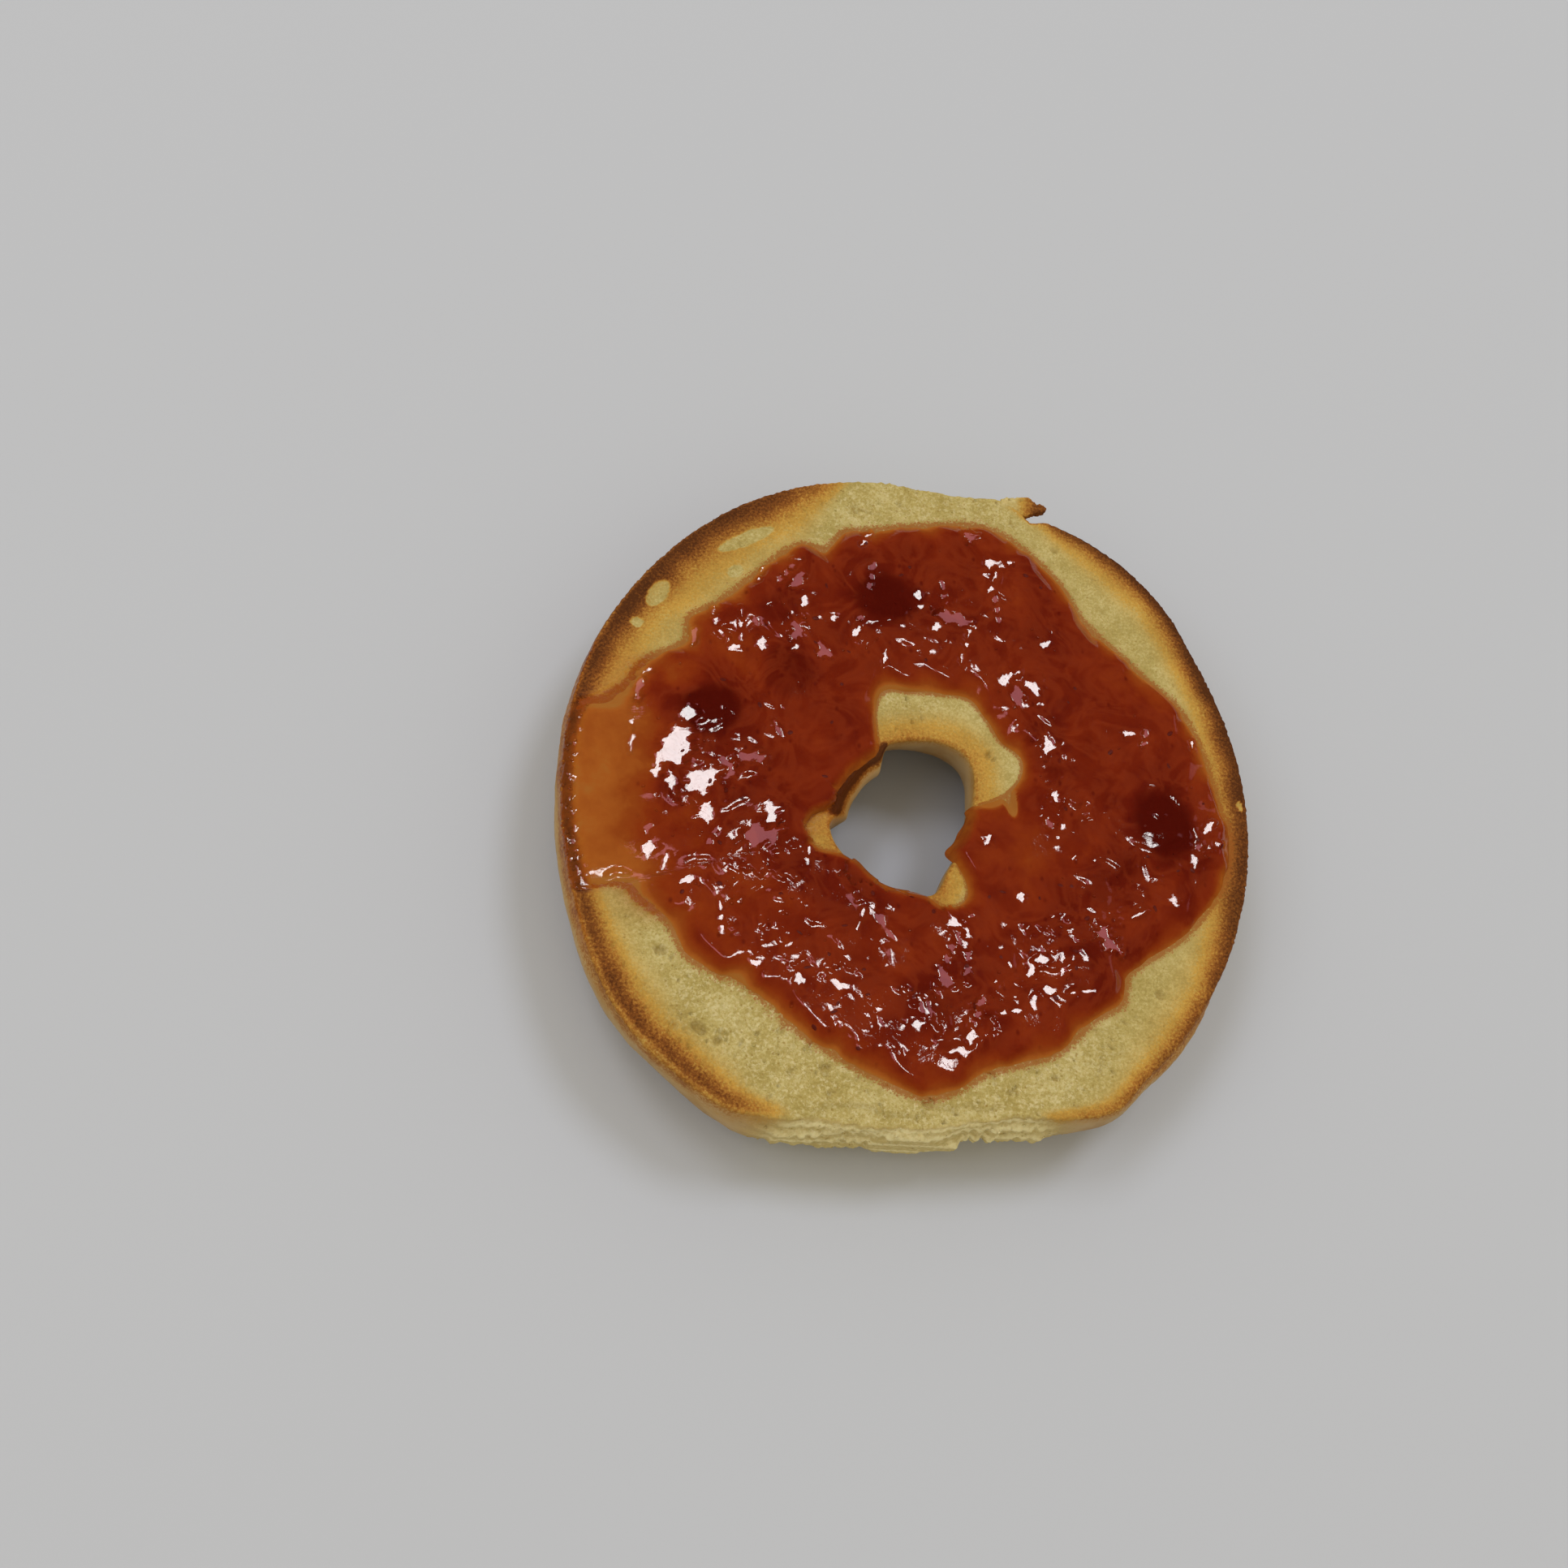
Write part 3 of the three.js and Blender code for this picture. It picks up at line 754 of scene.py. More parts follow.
def breadMaterial():
    made, shader, spot = newMaterial("toasted_bread")
    toast, torn, crust, soak, glaze, pale, pit, lip, under, rough = painted(
        spot, "toast", "torn", "crust", "soak", "glaze", "pale", "pit", "lip", "under", "rough")
    shades, look = breadColours, breadLook

    # bare crumb: soft patches, dimples painted darker as shade in small hollows, tufts painted lighter,
    # partly as a highlight, and open pores painted darker as shade within them
    broad = grain(spot, look["patches"] * mm, 3.0, 0.6)
    fine = grain(spot, look["grains"] * mm, 4.0, 0.6)
    fibre = grain(spot, look["fibres"] * mm, 4.0, 0.75, 0.15)
    dimpleShade = fade(grain(spot, look["dimples"] * mm, 2.0, 0.5, 0.5), 0.3, 0.5, 1.0, 0.0)
    level = timesPlus(minus(broad, 0.5), 0.6, fibre)
    crumb = ramp(level, shades, {0.34: "crumbDeep", 0.5: "crumb", 0.66: "crumbLight"})
    crumb = colours(times(dimpleShade, 0.55), crumb, shades["crumbDeep"])
    litTuft = fade(grain(spot, look["tufts"] * mm, 3.0, 0.65, 0.3), 0.5, 0.66)
    crumb = colours(times(litTuft, timesPlus(rough, 0.5, 0.15)), crumb, shades["litTuft"])
    bendSize, bendStrength = look["poreBend"]
    bend = times(grain(spot, bendSize * mm, 2.0), bendStrength * mm)
    sideways = put(spot, "ShaderNodeCombineXYZ", {"X": bend}).outputs[0]
    bentSpot = put(spot, "ShaderNodeVectorMath", {0: spot, 1: sideways}, operation="ADD").outputs[0]
    distance, chance = cells(bentSpot, look["pores"] * mm)
    reach = times(chance, timesPlus(rough, 0.06, 0.24))
    small = fade(minus(distance, reach), -0.16, 0.06, 1.0, 0.0)
    pores = calc("MAXIMUM", times(small, 0.7), times(pit, 0.45))
    # torn layers: painted highlight at their lips and painted shade below them, with random grain
    lipLightLevel = timesPlus(lip, -0.35, fine)
    tornColour = colours(fade(lipLightLevel, 0.1, 0.6), shades["torn"], shades["tornInShade"])
    mottled = colours(pores, colours(torn, crumb, tornColour), shades["poreShade"])

    # the same crumb where it is toasted, darker by speckles, and by painted shade in its pores
    speckle = grain(spot, look["speckles"] * mm, 3.0, 0.7)
    cloud = grain(spot, look["clouds"] * mm, 2.0)
    uneven = plus(times(minus(speckle, 0.5), 1.25), times(minus(cloud, 0.5), 0.5))
    heat = plus(toast, times(uneven, fade(toast, 0.05, 0.6)))
    cooled = times(heat, fade(pale, 0.0, 1.0, 1.0, 0.2))
    toasted = ramp(cooled, shades, {0.06: "crumb", 0.24: "gold", 0.46: "amber", 0.7: "brown", 1.0: "burnt"})
    shade = minus(fade(level, 0.3, 0.7, 0.84, 1.12), times(pores, 0.2))
    crisp = colours(1.0, toasted, shade, "MULTIPLY")
    cut = colours(fade(cooled, 0.04, 0.24), mottled, crisp)

    # crust, then the stain that the jam leaves on either
    smooth = grain(spot, look["crustPatches"] * mm, 3.0, 0.55)
    crustColour = colours(fade(smooth, 0.35, 0.7), shades["crust"], shades["crustDeep"])
    tray = colours(fade(smooth, 0.3, 0.65), shades["tray"], shades["trayDeep"])
    baked = colours(fade(under, 0.72, 0.98), crustColour, tray)
    outside = colours(crust, cut, colours(fade(cooled, 0.12, 0.5), baked, toasted))
    stain = fade(timesPlus(minus(fibre, 0.5), 3.2, soak), 0.4, 0.9, 0.0, 0.85)
    soaked = colours(times(stain, fade(soak, 0.0, 0.12)), outside, shades["soak"])

    roughFace = plus(times(fine, 0.5), times(speckle, 0.5))
    bumps = times(minus(roughFace, times(small, 0.35)), fade(crust, 0.0, 1.0, 1.0, 0.15))
    dry = fade(crust, 0.0, 1.0, look["crumbRoughness"], look["crustRoughness"])
    feed(shader, {
        "Base Color": colours(times(glaze, 0.8), soaked, shades["glaze"], "MULTIPLY"),
        "Roughness": times(dry, fade(glaze, 0.1, 0.7, 1.0, 0.15)),
        "Specular IOR Level": look["gloss"],
        "Normal": bumped(bumps, *look["bump"]),
    })
    soften(shader, *look["softness"])
    return made


flakeShape = {
    "root": (17.2, 50.0),
    "outline": ((-1.6, -1.6), (2.6, -1.8), (3.0, -1.4), (4.7, -0.8), (5.8, -0.4), (5.9, 0.1), (4.9, 1.0),
                (4.3, 0.4), (4.1, 1.1), (2.8, 1.8), (1.4, 1.7), (0, 1.3), (-1.6, 1.0)),  # from its root
    "top": 15.95,
    "thickness": 1.5,
    "mesh": 0.2,
    "browned": (0.4, 4.6),  # between these distances from its root
}


def makeFlake():  # a scrap of crust that stands out at the notch
    rootX, rootY = flakeShape["root"]
    low = flakeShape["top"] - flakeShape["thickness"]
    corners = [(rootX + x, rootY + y, z) for z in (low, flakeShape["top"]) for x, y in flakeShape["outline"]]
    many = len(flakeShape["outline"])
    faces = [list(range(many))[::-1], list(range(many, 2 * many))]
    faces += [[i, (i + 1) % many, many + (i + 1) % many, many + i] for i in range(many)]
    mesh = bpy.data.meshes.new("crust_flake")
    mesh.from_pydata((np.array(corners) * mm).tolist(), [], faces)
    piece = addPiece("crust_flake", mesh)
    fine = piece.modifiers.new("fine", "REMESH")
    fine.mode = "VOXEL"
    fine.voxel_size = flakeShape["mesh"] * mm
    fine.use_smooth_shade = True
    piece.data = plainMesh(piece)
    piece.modifiers.remove(fine)
    browned = rise(pointsOf(piece.data)[:, 0] / mm - rootX, *flakeShape["browned"])
    shown = dict.fromkeys(("crust", "soak", "glaze", "pale", "pit", "lip", "under"), 0.0)
    shown.update(toast=0.12 + 0.62 * browned, torn=1 - 0.6 * browned, bare=1.0, rough=1.0)
    return dress(piece, shown, crumbTree(), bpy.data.materials["toasted_bread"], crumbRelief)


def makeBread():
    mesh, points, values = ringMesh("bread", breadRings())
    paint = breadPaint(points, values)
    points, dents = dentFace(points, values)
    mesh.vertices.foreach_set("co", (points * mm).astype(np.float32).ravel())
    return dress(addPiece("bread", mesh), {**paint, **dents}, crumbTree(), breadMaterial(), crumbRelief)


# jam

jamShape = {
    "sunk": 0.3,  # how far its underside lies in the crumb
    "depth": 1.3,
    "roll": 3.8,  # width of the sloping edge
    "rollPower": 1.6,  # how steeply the edge starts
    "rollSwing": 0.3,
    "filmRoll": 4.5,
    "filmDepth": 0.4,
    "filmShown": 0.2,  # depth that its colour shows
    "filmEdge": -39.0,  # the glaze lies outside this line
    "filmWander": 1.6,
    "filmFade": 6.0,
    "filmBrim": 1.3,  # lifts the film clear of the crust along the rim
    "droop": 1.5,  # how far a lip hangs into the hole
    "lip": (-0.5, 1.6),  # it starts this far before the hole's edge and hangs in full this far past it
    "holeRoll": 2.2,
    "holeReach": (5, 11),  # distances from the hole between which its narrower roll fades out
    "flushAngles": (100, 185, 6),  # here its edge at the hole does not hang
    "rimKeep": 0.2,  # how far its edge keeps inside the rim
    "raggedEdge": 0.16,
    "fray": 0.3,  # how far the film's edge wanders
    "stations": 896,
    "lively": 0.12,  # share of the relief that the calm areas keep
    "facetFlat": 1.1,  # in shares of a facet's oval, squared: flat inside, level with the jam outside
    "facetEdge": 1.7,
    "facetWider": 0.3,
    "facetReach": 2.6,  # facets this near share one plane
    "facetChain": (1.2, 2.6, 1.5),  # a facet narrower and longer than this is cut into pieces so long
    "facetLift": 0.02,
    "facetWobble": 0.4,
    "filmAngles": (170, 202.6, 1.5),  # degrees from, to and fading where the film runs over the rim
    "stainedAngles": (156, 212, 4),  # the same for its frayed border
    "edgeSteps": (0, 0.05, 0.12, 0.22, 0.35, 0.52, 0.74),  # rings near an edge, by their distance from it
    "covered": (4, 6),  # from the hole's edge and from the outer one: evenly spread rings between
    "sparseRings": 35,
    "denseRings": 45,
    "denseFrom": 0.42,  # share of the way out
}

# deep and shallow spots: x, y, length, width, turn, added depth
jamMounds = (
    (-31, 9, 14, 14, 0, 0.6), (-4, 30, 14, 14, 0, 0.7), (38, -4, 14, 14, 0, 0.8),
    (-22, -6, 16, 16, 0, 0.35), (20, 24, 16, 16, 0, 0.35), (24, -24, 16, 16, 0, 0.4),
    (4, -35, 14, 9, 0, 0.3), (-13, -23, 14, 12, 0, 0.15), (14.3, -1.6, 5, 2.1, 97, -1.2),
    (11.3, -1.2, 5, 5, 0, -0.8), (-36, -12, 16, 8, 80, -0.4), (-26, 20, 10, 6, 30, -0.3),
)

# where it only looks deeper or thinner: x, y, length, width, turn, added depth
jamClouds = (
    (-31, 8.6, 9, 8, 20, 1.0), (-4, 30.2, 11, 8, 10, 1.0), (38, -4.1, 9, 13, 20, 0.9),
    (30, -14, 12, 9, 0, 0.5), (-20, 27, 8, 5, 30, 0.5), (-36, -4, 5, 7, 0, 0.7), (20, 8, 7, 12, 0, 0.4),
    (-14, -17, 20, 9, -30, 0.5), (-19, 16, 9, 9, 0, 0.7), (3, -31, 24, 8, 40, 0.35),
    (42, -15, 6, 16, -25, 0.5), (33, -25, 14, 6, 50, 0.3), (-35, 14, 6, 6, 0, -0.7),
    (-28, -27, 14, 5, -50, -0.4), (-3, 13, 10, 7, 0, -0.35), (17, -9, 7, 9, 0, -0.3),
    (11.3, -1.2, 4.4, 4.4, 0, -0.9), (14.3, -1.9, 5.4, 1.8, 97, -2.0),
)

# where the jam is lumpy: x, y, length, width, turn, strength
jamLumpy = (
    (-33, 2, 14, 22, -20, 0.8), (-27, -8, 14, 14, 0, 0.8), (-24, 8, 12, 12, 0, 0.6),
    (-20, -9, 10, 12, 0, 1.0), (-30, 25, 12, 9, 30, 0.9), (-19, 27, 14, 9, 60, 1.0),
    (-9, 33, 10, 7, 40, 0.6), (-6, 24, 14, 10, 60, 1.0), (2, 26, 12, 13, 20, 1.0), (10, 33, 14, 8, 20, 0.9),
    (10, 24, 9, 12, 0, 0.8), (19, 27, 9, 7, 0, 0.7), (16, 12, 12, 9, -30, 1.0), (21, 2, 8, 24, 15, 1.0),
    (29, 10, 8, 5, 0, 0.5), (40, -4, 12, 16, 0, 1.0), (30, -12, 14, 9, 30, 0.8), (26, -19, 20, 10, 25, 1.0),
    (18, -26, 14, 14, 30, 1.0), (6, -33, 16, 12, 20, 1.0), (5, -17, 8, 14, 10, 0.9),
    (-6, -17, 10, 12, 0, 0.8), (-8, -26, 8, 8, 0, 0.6), (-19, -23, 16, 8, -30, 0.9),
    (-30, -17, 12, 12, 0, 0.8), (-37, -8, 8, 14, 0, 0.7), (-9, -39, 10, 8, 0, 0.3), (37, 12, 6, 10, 0, 0.3),
)

# small faces that lean so that the lamp shows in them: x, y, length, width, turn
brightFacets = (
    (-40.6, 14.4, 2.2, 1, 25), (-48.9, -18.3, 1.4, 0.9, 80), (-44.4, -17.5, 1.6, 0.5, 30),
    (-42.8, -17.2, 1.4, 0.5, -10), (-30.5, 24.5, 3.5, 0.9, 95), (-29, 21, 3, 1.1, 130),
    (-27.5, 19.5, 2.2, 1, 0), (-26.5, 23.5, 5.5, 0.6, 90), (-23.5, 20.5, 1.9, 1.8, 0),
    (-23.5, 32.5, 3.2, 0.7, 70), (-18, 35.5, 1.8, 0.7, 0), (-17, 28, 2.1, 1.2, 65),
    (-7, 40.5, 3.6, 1.1, 65), (-9, 23.5, 2.3, 1.1, 65), (-12.5, 25.5, 2.1, 0.9, 25),
    (-18.5, 20, 1.6, 0.9, 25), (-4.5, 20, 2.8, 0.7, 80), (-34.5, 7, 3.9, 2.1, 65), (-36, 2.5, 6.2, 4.2, 65),
    (-37.5, -0.5, 4.3, 2.9, 50), (-36.5, -3, 4.5, 1.4, 105), (-32.5, -3, 3.7, 3.3, 150),
    (-30.5, -2, 3.3, 1.7, 50), (-31.5, -7.5, 3.3, 2.2, 130), (-26, -2, 3.4, 0.7, 20),
    (-22, -7, 3.5, 2.4, 100), (-26.5, -13, 2, 0.9, 65), (-39.5, -13.5, 2.7, 1.6, 50),
    (-37, -15.5, 2.9, 0.8, 75), (-34, -18, 2.6, 1.1, 20), (-29, -23, 4.8, 0.7, 95),
    (-16.5, -13, 3, 0.7, 80), (-9, -22, 3.7, 0.6, 70), (-24, -29.5, 2, 1.1, -15), (-18, -31.5, 1.6, 1.4, 0),
    (-12, -32, 2.7, 1.1, -15), (13, 38, 2.8, 1.4, 25), (15.5, 38, 3.2, 0.8, 35), (13, 34.5, 4.2, 0.6, 70),
    (1, 30, 3.3, 1.1, 100), (3.5, 25.5, 2, 1.2, 35), (8.5, 24, 3.7, 0.9, 75), (7.5, 21, 2.8, 0.6, 85),
    (15, 18.5, 4.2, 1.3, 35), (18.5, 17, 3.2, 1.2, -45), (18.5, 14, 3.2, 0.8, 15), (21, 24.5, 1.8, 1.1, 60),
    (20.5, 7.5, 3, 1.9, 85), (21, -1, 1.9, 1.7, 0), (21.5, -6.5, 3.5, 0.8, 60), (33.5, 10.5, 1.8, 1, 0),
    (44, 10, 1.7, 0.7, 85), (10.5, -8.5, 1.6, 1, 80), (15, -17, 1.7, 0.9, 120), (45, -4, 2.9, 1.1, 50),
    (45.5, -7, 3, 0.9, 25), (42.5, -5.5, 2.6, 0.8, 95), (42, -9.5, 2.5, 1, 105), (36, -13, 1.4, 1.2, 0),
    (38.5, -16, 1.9, 1.2, 115), (33, -18.5, 2.7, 0.6, 30), (4.5, -21.5, 2.2, 1.5, 100),
    (6.5, -24, 3.2, 0.7, 85), (16, -27.5, 3.2, 1.2, 75), (17.5, -26.5, 2.2, 1, 15),
    (18.5, -31, 1.7, 1.1, 0), (16, -33, 2.4, 0.8, 85), (20.5, -27, 3.7, 0.6, 85),
    (12.5, -34.5, 3.6, 0.6, 10), (23, -31, 3.7, 0.7, 10), (5, -40.5, 4, 1.2, 10),
    (6.5, -38.5, 2.4, 1.3, 80), (-1, -37, 1.7, 1, 15),
)
# long bright ones kept whole
streaks = ((-42.2, 3.2, 4, 0.85, 86), (-41.95, 6.9, 4, 0.85, 86), (-47.7, -20.3, 3.2, 0.5, 75))
filmGlints = {  # tiny bright ones along the rim below the film
    "count": 110,
    "degrees": (160, 206),
    "gap": (0.7, 2.2),  # in from the rim
    "length": (0.3, 0.9),
    "width": (0.2, 0.45),
    "swing": 40,  # how far each turns from the rim's run
    "seed": 4,
}
# level faces where no light shows: x, y, length, width, turn
calmFacets = (
    (-13.3, -32.4, 5.0, 3.2, 60), (-1.5, -39, 6.0, 2.6, 20), (-24.5, -26.5, 6.0, 2.0, -40),
    (-4.3, -34.6, 4.6, 3.6, 40), (-19.2, -14.4, 4.6, 3.4, 40), (-8, -14.2, 5.5, 3.4, 20),
    (7.9, -36.9, 3.6, 3, 0), (20.6, -24, 3.2, 2.6, 0), (-10.4, -35.8, 4.6, 3, 40),
    (-21.3, -29.8, 4.4, 2.2, -20), (19.1, 18, 2.8, 2.4, 0), (-11.6, -31.2, 3, 2.4, 20),
    (17.4, -23, 2.4, 2.2, 0), (-9.4, -37.3, 3.8, 2, 30), (-21.6, -25.2, 3, 1.8, 0), (-0.6, -36, 2.4, 2, 0),
    (-3.3, -16, 4.6, 1.8, 0), (-24.2, -14.6, 3, 2.6, 0), (5.2, -20.4, 3, 1.8, 0), (23.9, -3.1, 3.4, 2, 0),
    (-17.3, -30.1, 2.4, 2.2, 0),
)
# small faces that lean towards the dim window
dimFacets = (
    (-41.5, 11.4, 4.4, 1.2, 83), (-19.5, 33, 5.1, 0.8, 55), (-18, 31.5, 3.4, 1.3, 50),
    (-6.5, 33.5, 4.9, 0.9, 80), (-18, 23, 3.3, 1.8, 80), (-33.5, 21, 2.5, 1, 85), (-14, 20, 2.8, 1.6, 120),
    (-28.5, -0.5, 4.4, 2.6, 70), (-25, 1.5, 4.8, 1.8, 5), (-21, 6.5, 2.5, 1, 120),
    (-23.5, -10.5, 5.6, 2.9, 25), (-30.5, -11, 3.2, 0.9, 65), (-39.5, -10.5, 2.2, 1, 80),
    (-5.5, -23, 4.4, 1, 120), (10, 42.5, 2.1, 2.1, 0), (13.5, 30, 5, 0.8, 95), (5, 31.5, 4.8, 0.8, 95),
    (6.5, 27.5, 5.6, 1.9, -10), (16, 15, 3.9, 1.5, 105), (20, -5.5, 1.9, 1.1, 120), (36, 10, 3.4, 0.8, 75),
    (4.5, -25.5, 5.3, 1, 60), (6.5, -27.5, 4.2, 0.8, 80), (3, -30, 3.5, 1.2, 110),
    (27.5, -23, 4.9, 1.9, -45), (7.5, -35, 4.9, 1, 70), (-0.5, -35.5, 3, 0.6, 95), (42.5, -8, 3.3, 1.1, 65),
)

jamRelief = {
    "Swell Size": 11.0 * mm,
    "Swell Height": 0.6 * mm,
    "Lump Size": 3.6 * mm,
    "Lump Height": 0.22 * mm,
    "Crease Size": 5.0 * mm,
    "Crease Height": 0.06 * mm,
    "Bead Size": 1.8 * mm,
    "Bead Height": 0.1 * mm,
    "Film Size": 0.8 * mm,
    "Film Height": 0.3 * mm,
    "Seed": 7.0,
}


def jamBorder(x, y):  # distance in from the nearest point of the jam's outlines, without the film's rim
    degrees = np.arange(0, 360, 0.25)
    outer = direction(degrees) * knotCurve(outlines["jamOuter"], degrees)[:, None]
    outer = outer[between(degrees, *jamShape["filmAngles"]) < 0.5]
    inner = direction(degrees) * knotCurve(outlines["jamInner"], degrees)[:, None] + holeCentre
    line = np.concatenate([outer, inner])
    return np.sqrt(((x[:, None] - line[:, 0]) ** 2 + (y[:, None] - line[:, 1]) ** 2).min(axis=1))


def jamLiveliness(x, y):
    lively = np.zeros(len(x))
    for spot in jamLumpy:
        lively = np.maximum(lively, spot[5] * (1 - rise(blob(x, y, spot), 0.2, 1.8)))
    return mix(jamShape["lively"], 1, lively)


def jamThickness(x, y):
    full = jamShape["depth"] + sum(spot[5] * np.exp(-blob(x, y, spot)) for spot in jamMounds)
    wander = jamShape["filmWander"] * (np.sin(0.31 * y + 0.8) + 0.6 * np.sin(0.83 * y + 0.1 * x))
    line = jamShape["filmEdge"] + wander
    film = 1 - rise(x, line - jamShape["filmFade"], line + jamShape["filmFade"])
    return mix(full, jamShape["filmDepth"], film), film


def jamTop(x, y, border):  # height of the jam before its small relief
    thickness, film = jamThickness(x, y)
    roll = jamShape["roll"] * (1 + jamShape["rollSwing"] * np.sin(0.9 * x + 1.1 * np.sin(0.7 * y)))
    holeGap = crustGaps(x, y)[1]
    roll = mix(roll, jamShape["holeRoll"], 1 - rise(holeGap, *jamShape["holeReach"]))
    slope = np.clip(border / mix(roll, jamShape["filmRoll"], film), 0, 1)
    full = (thickness + jamShape["sunk"]) * (1 - (1 - slope) ** jamShape["rollPower"])
    return faceHeight - jamShape["sunk"] + full, film


def facingSlope(x, y, light):  # the slope in which the camera sees a light
    spot = np.array([x, y, faceHeight + 1.5]) * mm
    lamp = np.array(studio[light][0])
    rays = cameraFrame()[0] - spot, lamp / np.linalg.norm(lamp) * studio["distance"] - spot
    half = sum(ray / np.linalg.norm(ray) for ray in rays)
    return -half[:2] / half[2]


def chained(spots):  # a long thin facet as a chain of short ones, so that it stays on the jam
    narrowest, longest, link = jamShape["facetChain"]
    made = []
    for x, y, length, width, turn in spots:
        links = int(length / link) if width < narrowest and length > longest else 1
        along = direction(turn)
        for i in range(links):
            away = length * ((i + 0.5) / links - 0.5)
            made.append((x + away * along[0], y + away * along[1], length / links, width, turn))
    return made


def rimGlints():  # small glints along the toasted rim below the film
    draw = np.random.default_rng(filmGlints["seed"])
    swing = filmGlints["swing"]
    made = []
    for _ in range(filmGlints["count"]):
        degrees = draw.uniform(*filmGlints["degrees"])
        gap, length, width = (draw.uniform(*filmGlints[key]) for key in ("gap", "length", "width"))
        x, y = direction(degrees) * (knotCurve(outlines["rim"], np.array([degrees]))[0] - gap)
        made.append((x, y, length, width, degrees + 90 + draw.uniform(-swing, swing)))
    return made


def allFacets():  # each spot with its plane: where it is level with the jam, how high, and its slopes
    made = []
    bright = chained(brightFacets) + list(streaks) + rimGlints()
    for light, spots in ((None, calmFacets), ("window", chained(dimFacets)), ("lamp", bright)):
        planes = []
        for spot in spots:
            x, y = np.array([spot[0]]), np.array([spot[1]])
            wide = spot[3] >= jamShape["facetChain"][0]
            reach = jamShape["facetReach"] if wide else 0
            shared = [plane for other, plane in planes if blob(x, y, other)[0] < reach]
            level = jamTop(x, y, jamBorder(x, y))[0][0] + jamShape["facetLift"]
            slopes = facingSlope(spot[0], spot[1], light) if light else (0, 0)
            plane = shared[0] if shared else (spot[0], spot[1], level, *slopes)
            planes.append((spot, plane))
        made += planes
    return made


def warps(x, y):
    return (
        np.sin(2.1 * y + 1.3 * x) + 0.6 * np.sin(4.7 * y - 3.1 * x) + 0.4 * np.sin(9.1 * y),
        np.sin(2.3 * x - 1.1 * y) + 0.6 * np.sin(4.3 * x + 3.7 * y) + 0.4 * np.sin(8.3 * x),
    )


def facetted(x, y, height, facets):
    calm = np.zeros(len(x))
    warpX, warpY = warps(x, y)
    for spot, (middleX, middleY, level, leanX, leanY) in facets:
        wobble = jamShape["facetWobble"] * np.clip((spot[3] - 0.5) / 1.3, 0.12, 1)
        away = blob(x + wobble * warpX, y + wobble * warpY, spot, jamShape["facetWider"])
        inside = 1 - rise(away, jamShape["facetFlat"], jamShape["facetEdge"])
        height = mix(height, level + leanX * (x - middleX) + leanY * (y - middleY), inside)
        calm = np.maximum(calm, inside)
    return height, calm


def jamRing(count, kind, value, facets):
    shape = jamShape
    degrees = np.arange(count) * 360 / count
    waver = ragged(degrees, 14, 48, 21) + 0.5 * ragged(degrees, 48, 110, 23)
    outerRadius = knotCurve(outlines["jamOuter"], degrees) + shape["raggedEdge"] * waver
    innerWaver = 0.4 * shape["raggedEdge"] * ragged(degrees, 8, 18, 22)
    innerRadius = knotCurve(outlines["jamInner"], degrees) + innerWaver
    rimRadius = knotCurve(outlines["rim"], degrees)
    glazed = between(degrees, *shape["filmAngles"])
    outerRadius = np.minimum(mix(outerRadius, rimRadius, glazed), rimRadius - shape["rimKeep"])
    outer, inner, width = crossing(degrees, outerRadius, innerRadius)
    fromHole, fromRim, part = value
    share = mix(fromHole / width, 1 - fromRim / width, part)
    x, y = (inner + (outer - inner) * share[:, None]).T
    near = jamBorder(x, y)
    edge = np.minimum(np.minimum(share, 1 - share) * width, near)
    stained = between(degrees, *shape["stainedAngles"])
    frayed = (1 + 1.5 * glazed) * near + 0.2 + shape["fray"] * stained * warps(x, y)[0]
    height, film = jamTop(x, y, np.minimum(edge + shape["filmBrim"] * glazed, frayed))
    thick = height - faceHeight - (shape["filmDepth"] - shape["filmShown"]) * rise(film, 0.35, 0.9)
    for spot in jamClouds:
        thick = thick + spot[5] * (1 - rise(blob(x, y, spot), 0.2, 1.6))
    height, calm = facetted(x, y, height, facets)
    rimGap, holeGap = crustGaps(x, y)
    flush = between(anglesOf(x, y)[1], *shape["flushAngles"])
    over = rise(-holeGap, *shape["lip"]) * (1 - 0.85 * flush)
    brim = roundedIn(np.maximum(rimGap - breadShape["inset"], 0), breadShape["rimRound"]) * glazed
    if kind == "under":
        height = faceHeight - shape["sunk"] - 0.5 * over * np.clip(edge, 0, 1) - 0.1 * glazed
    return {
        "points": np.column_stack([x, y, height - (shape["droop"] * over + brim)]),
        "thick": thick,
        "body": rise(edge, 1.0, 4.5) * (1 - film) * (1 - calm),
        "edge": np.minimum(edge + 9 * glazed, near),
        "lively": jamLiveliness(x, y),
        "film": film,
        "top": 1.0 if kind == "top" else 0.0,
    }


def jamRings():
    many, half, quarter = (jamShape["stations"] // part for part in (1, 2, 4))
    facets = allFacets()
    edges = jamShape["edgeSteps"]
    nearHole, nearRim = covered = jamShape["covered"]
    dense = jamShape["denseFrom"]
    sparseParts = np.linspace(0, dense, jamShape["sparseRings"] + 1)[:-1]
    denseParts = np.linspace(dense, 1, jamShape["denseRings"] + 1)[:-1]
    plan = [(half, "under", (0, 0.3, 1))]
    plan += [(quarter, "under", (0.6, 0.6, part)) for part in np.linspace(0.95, 0.05, 6)]
    plan += [(half, "under", (0.3, 0, 0))]
    plan += [(half, "top", (gap, 0, 0)) for gap in edges]
    plan += [(half, "top", (gap, 0, 0)) for gap in np.arange(1, nearHole, 0.28)]
    plan += [(half, "top", (*covered, part)) for part in sparseParts]
    plan += [(many, "top", (*covered, part)) for part in denseParts]
    plan += [(many, "top", (0, gap, 1)) for gap in np.arange(nearRim, 0.95, -0.3)]
    plan += [(many, "top", (0, gap, 1)) for gap in edges[::-1]]
    return [jamRing(*row, facets) for row in plan]


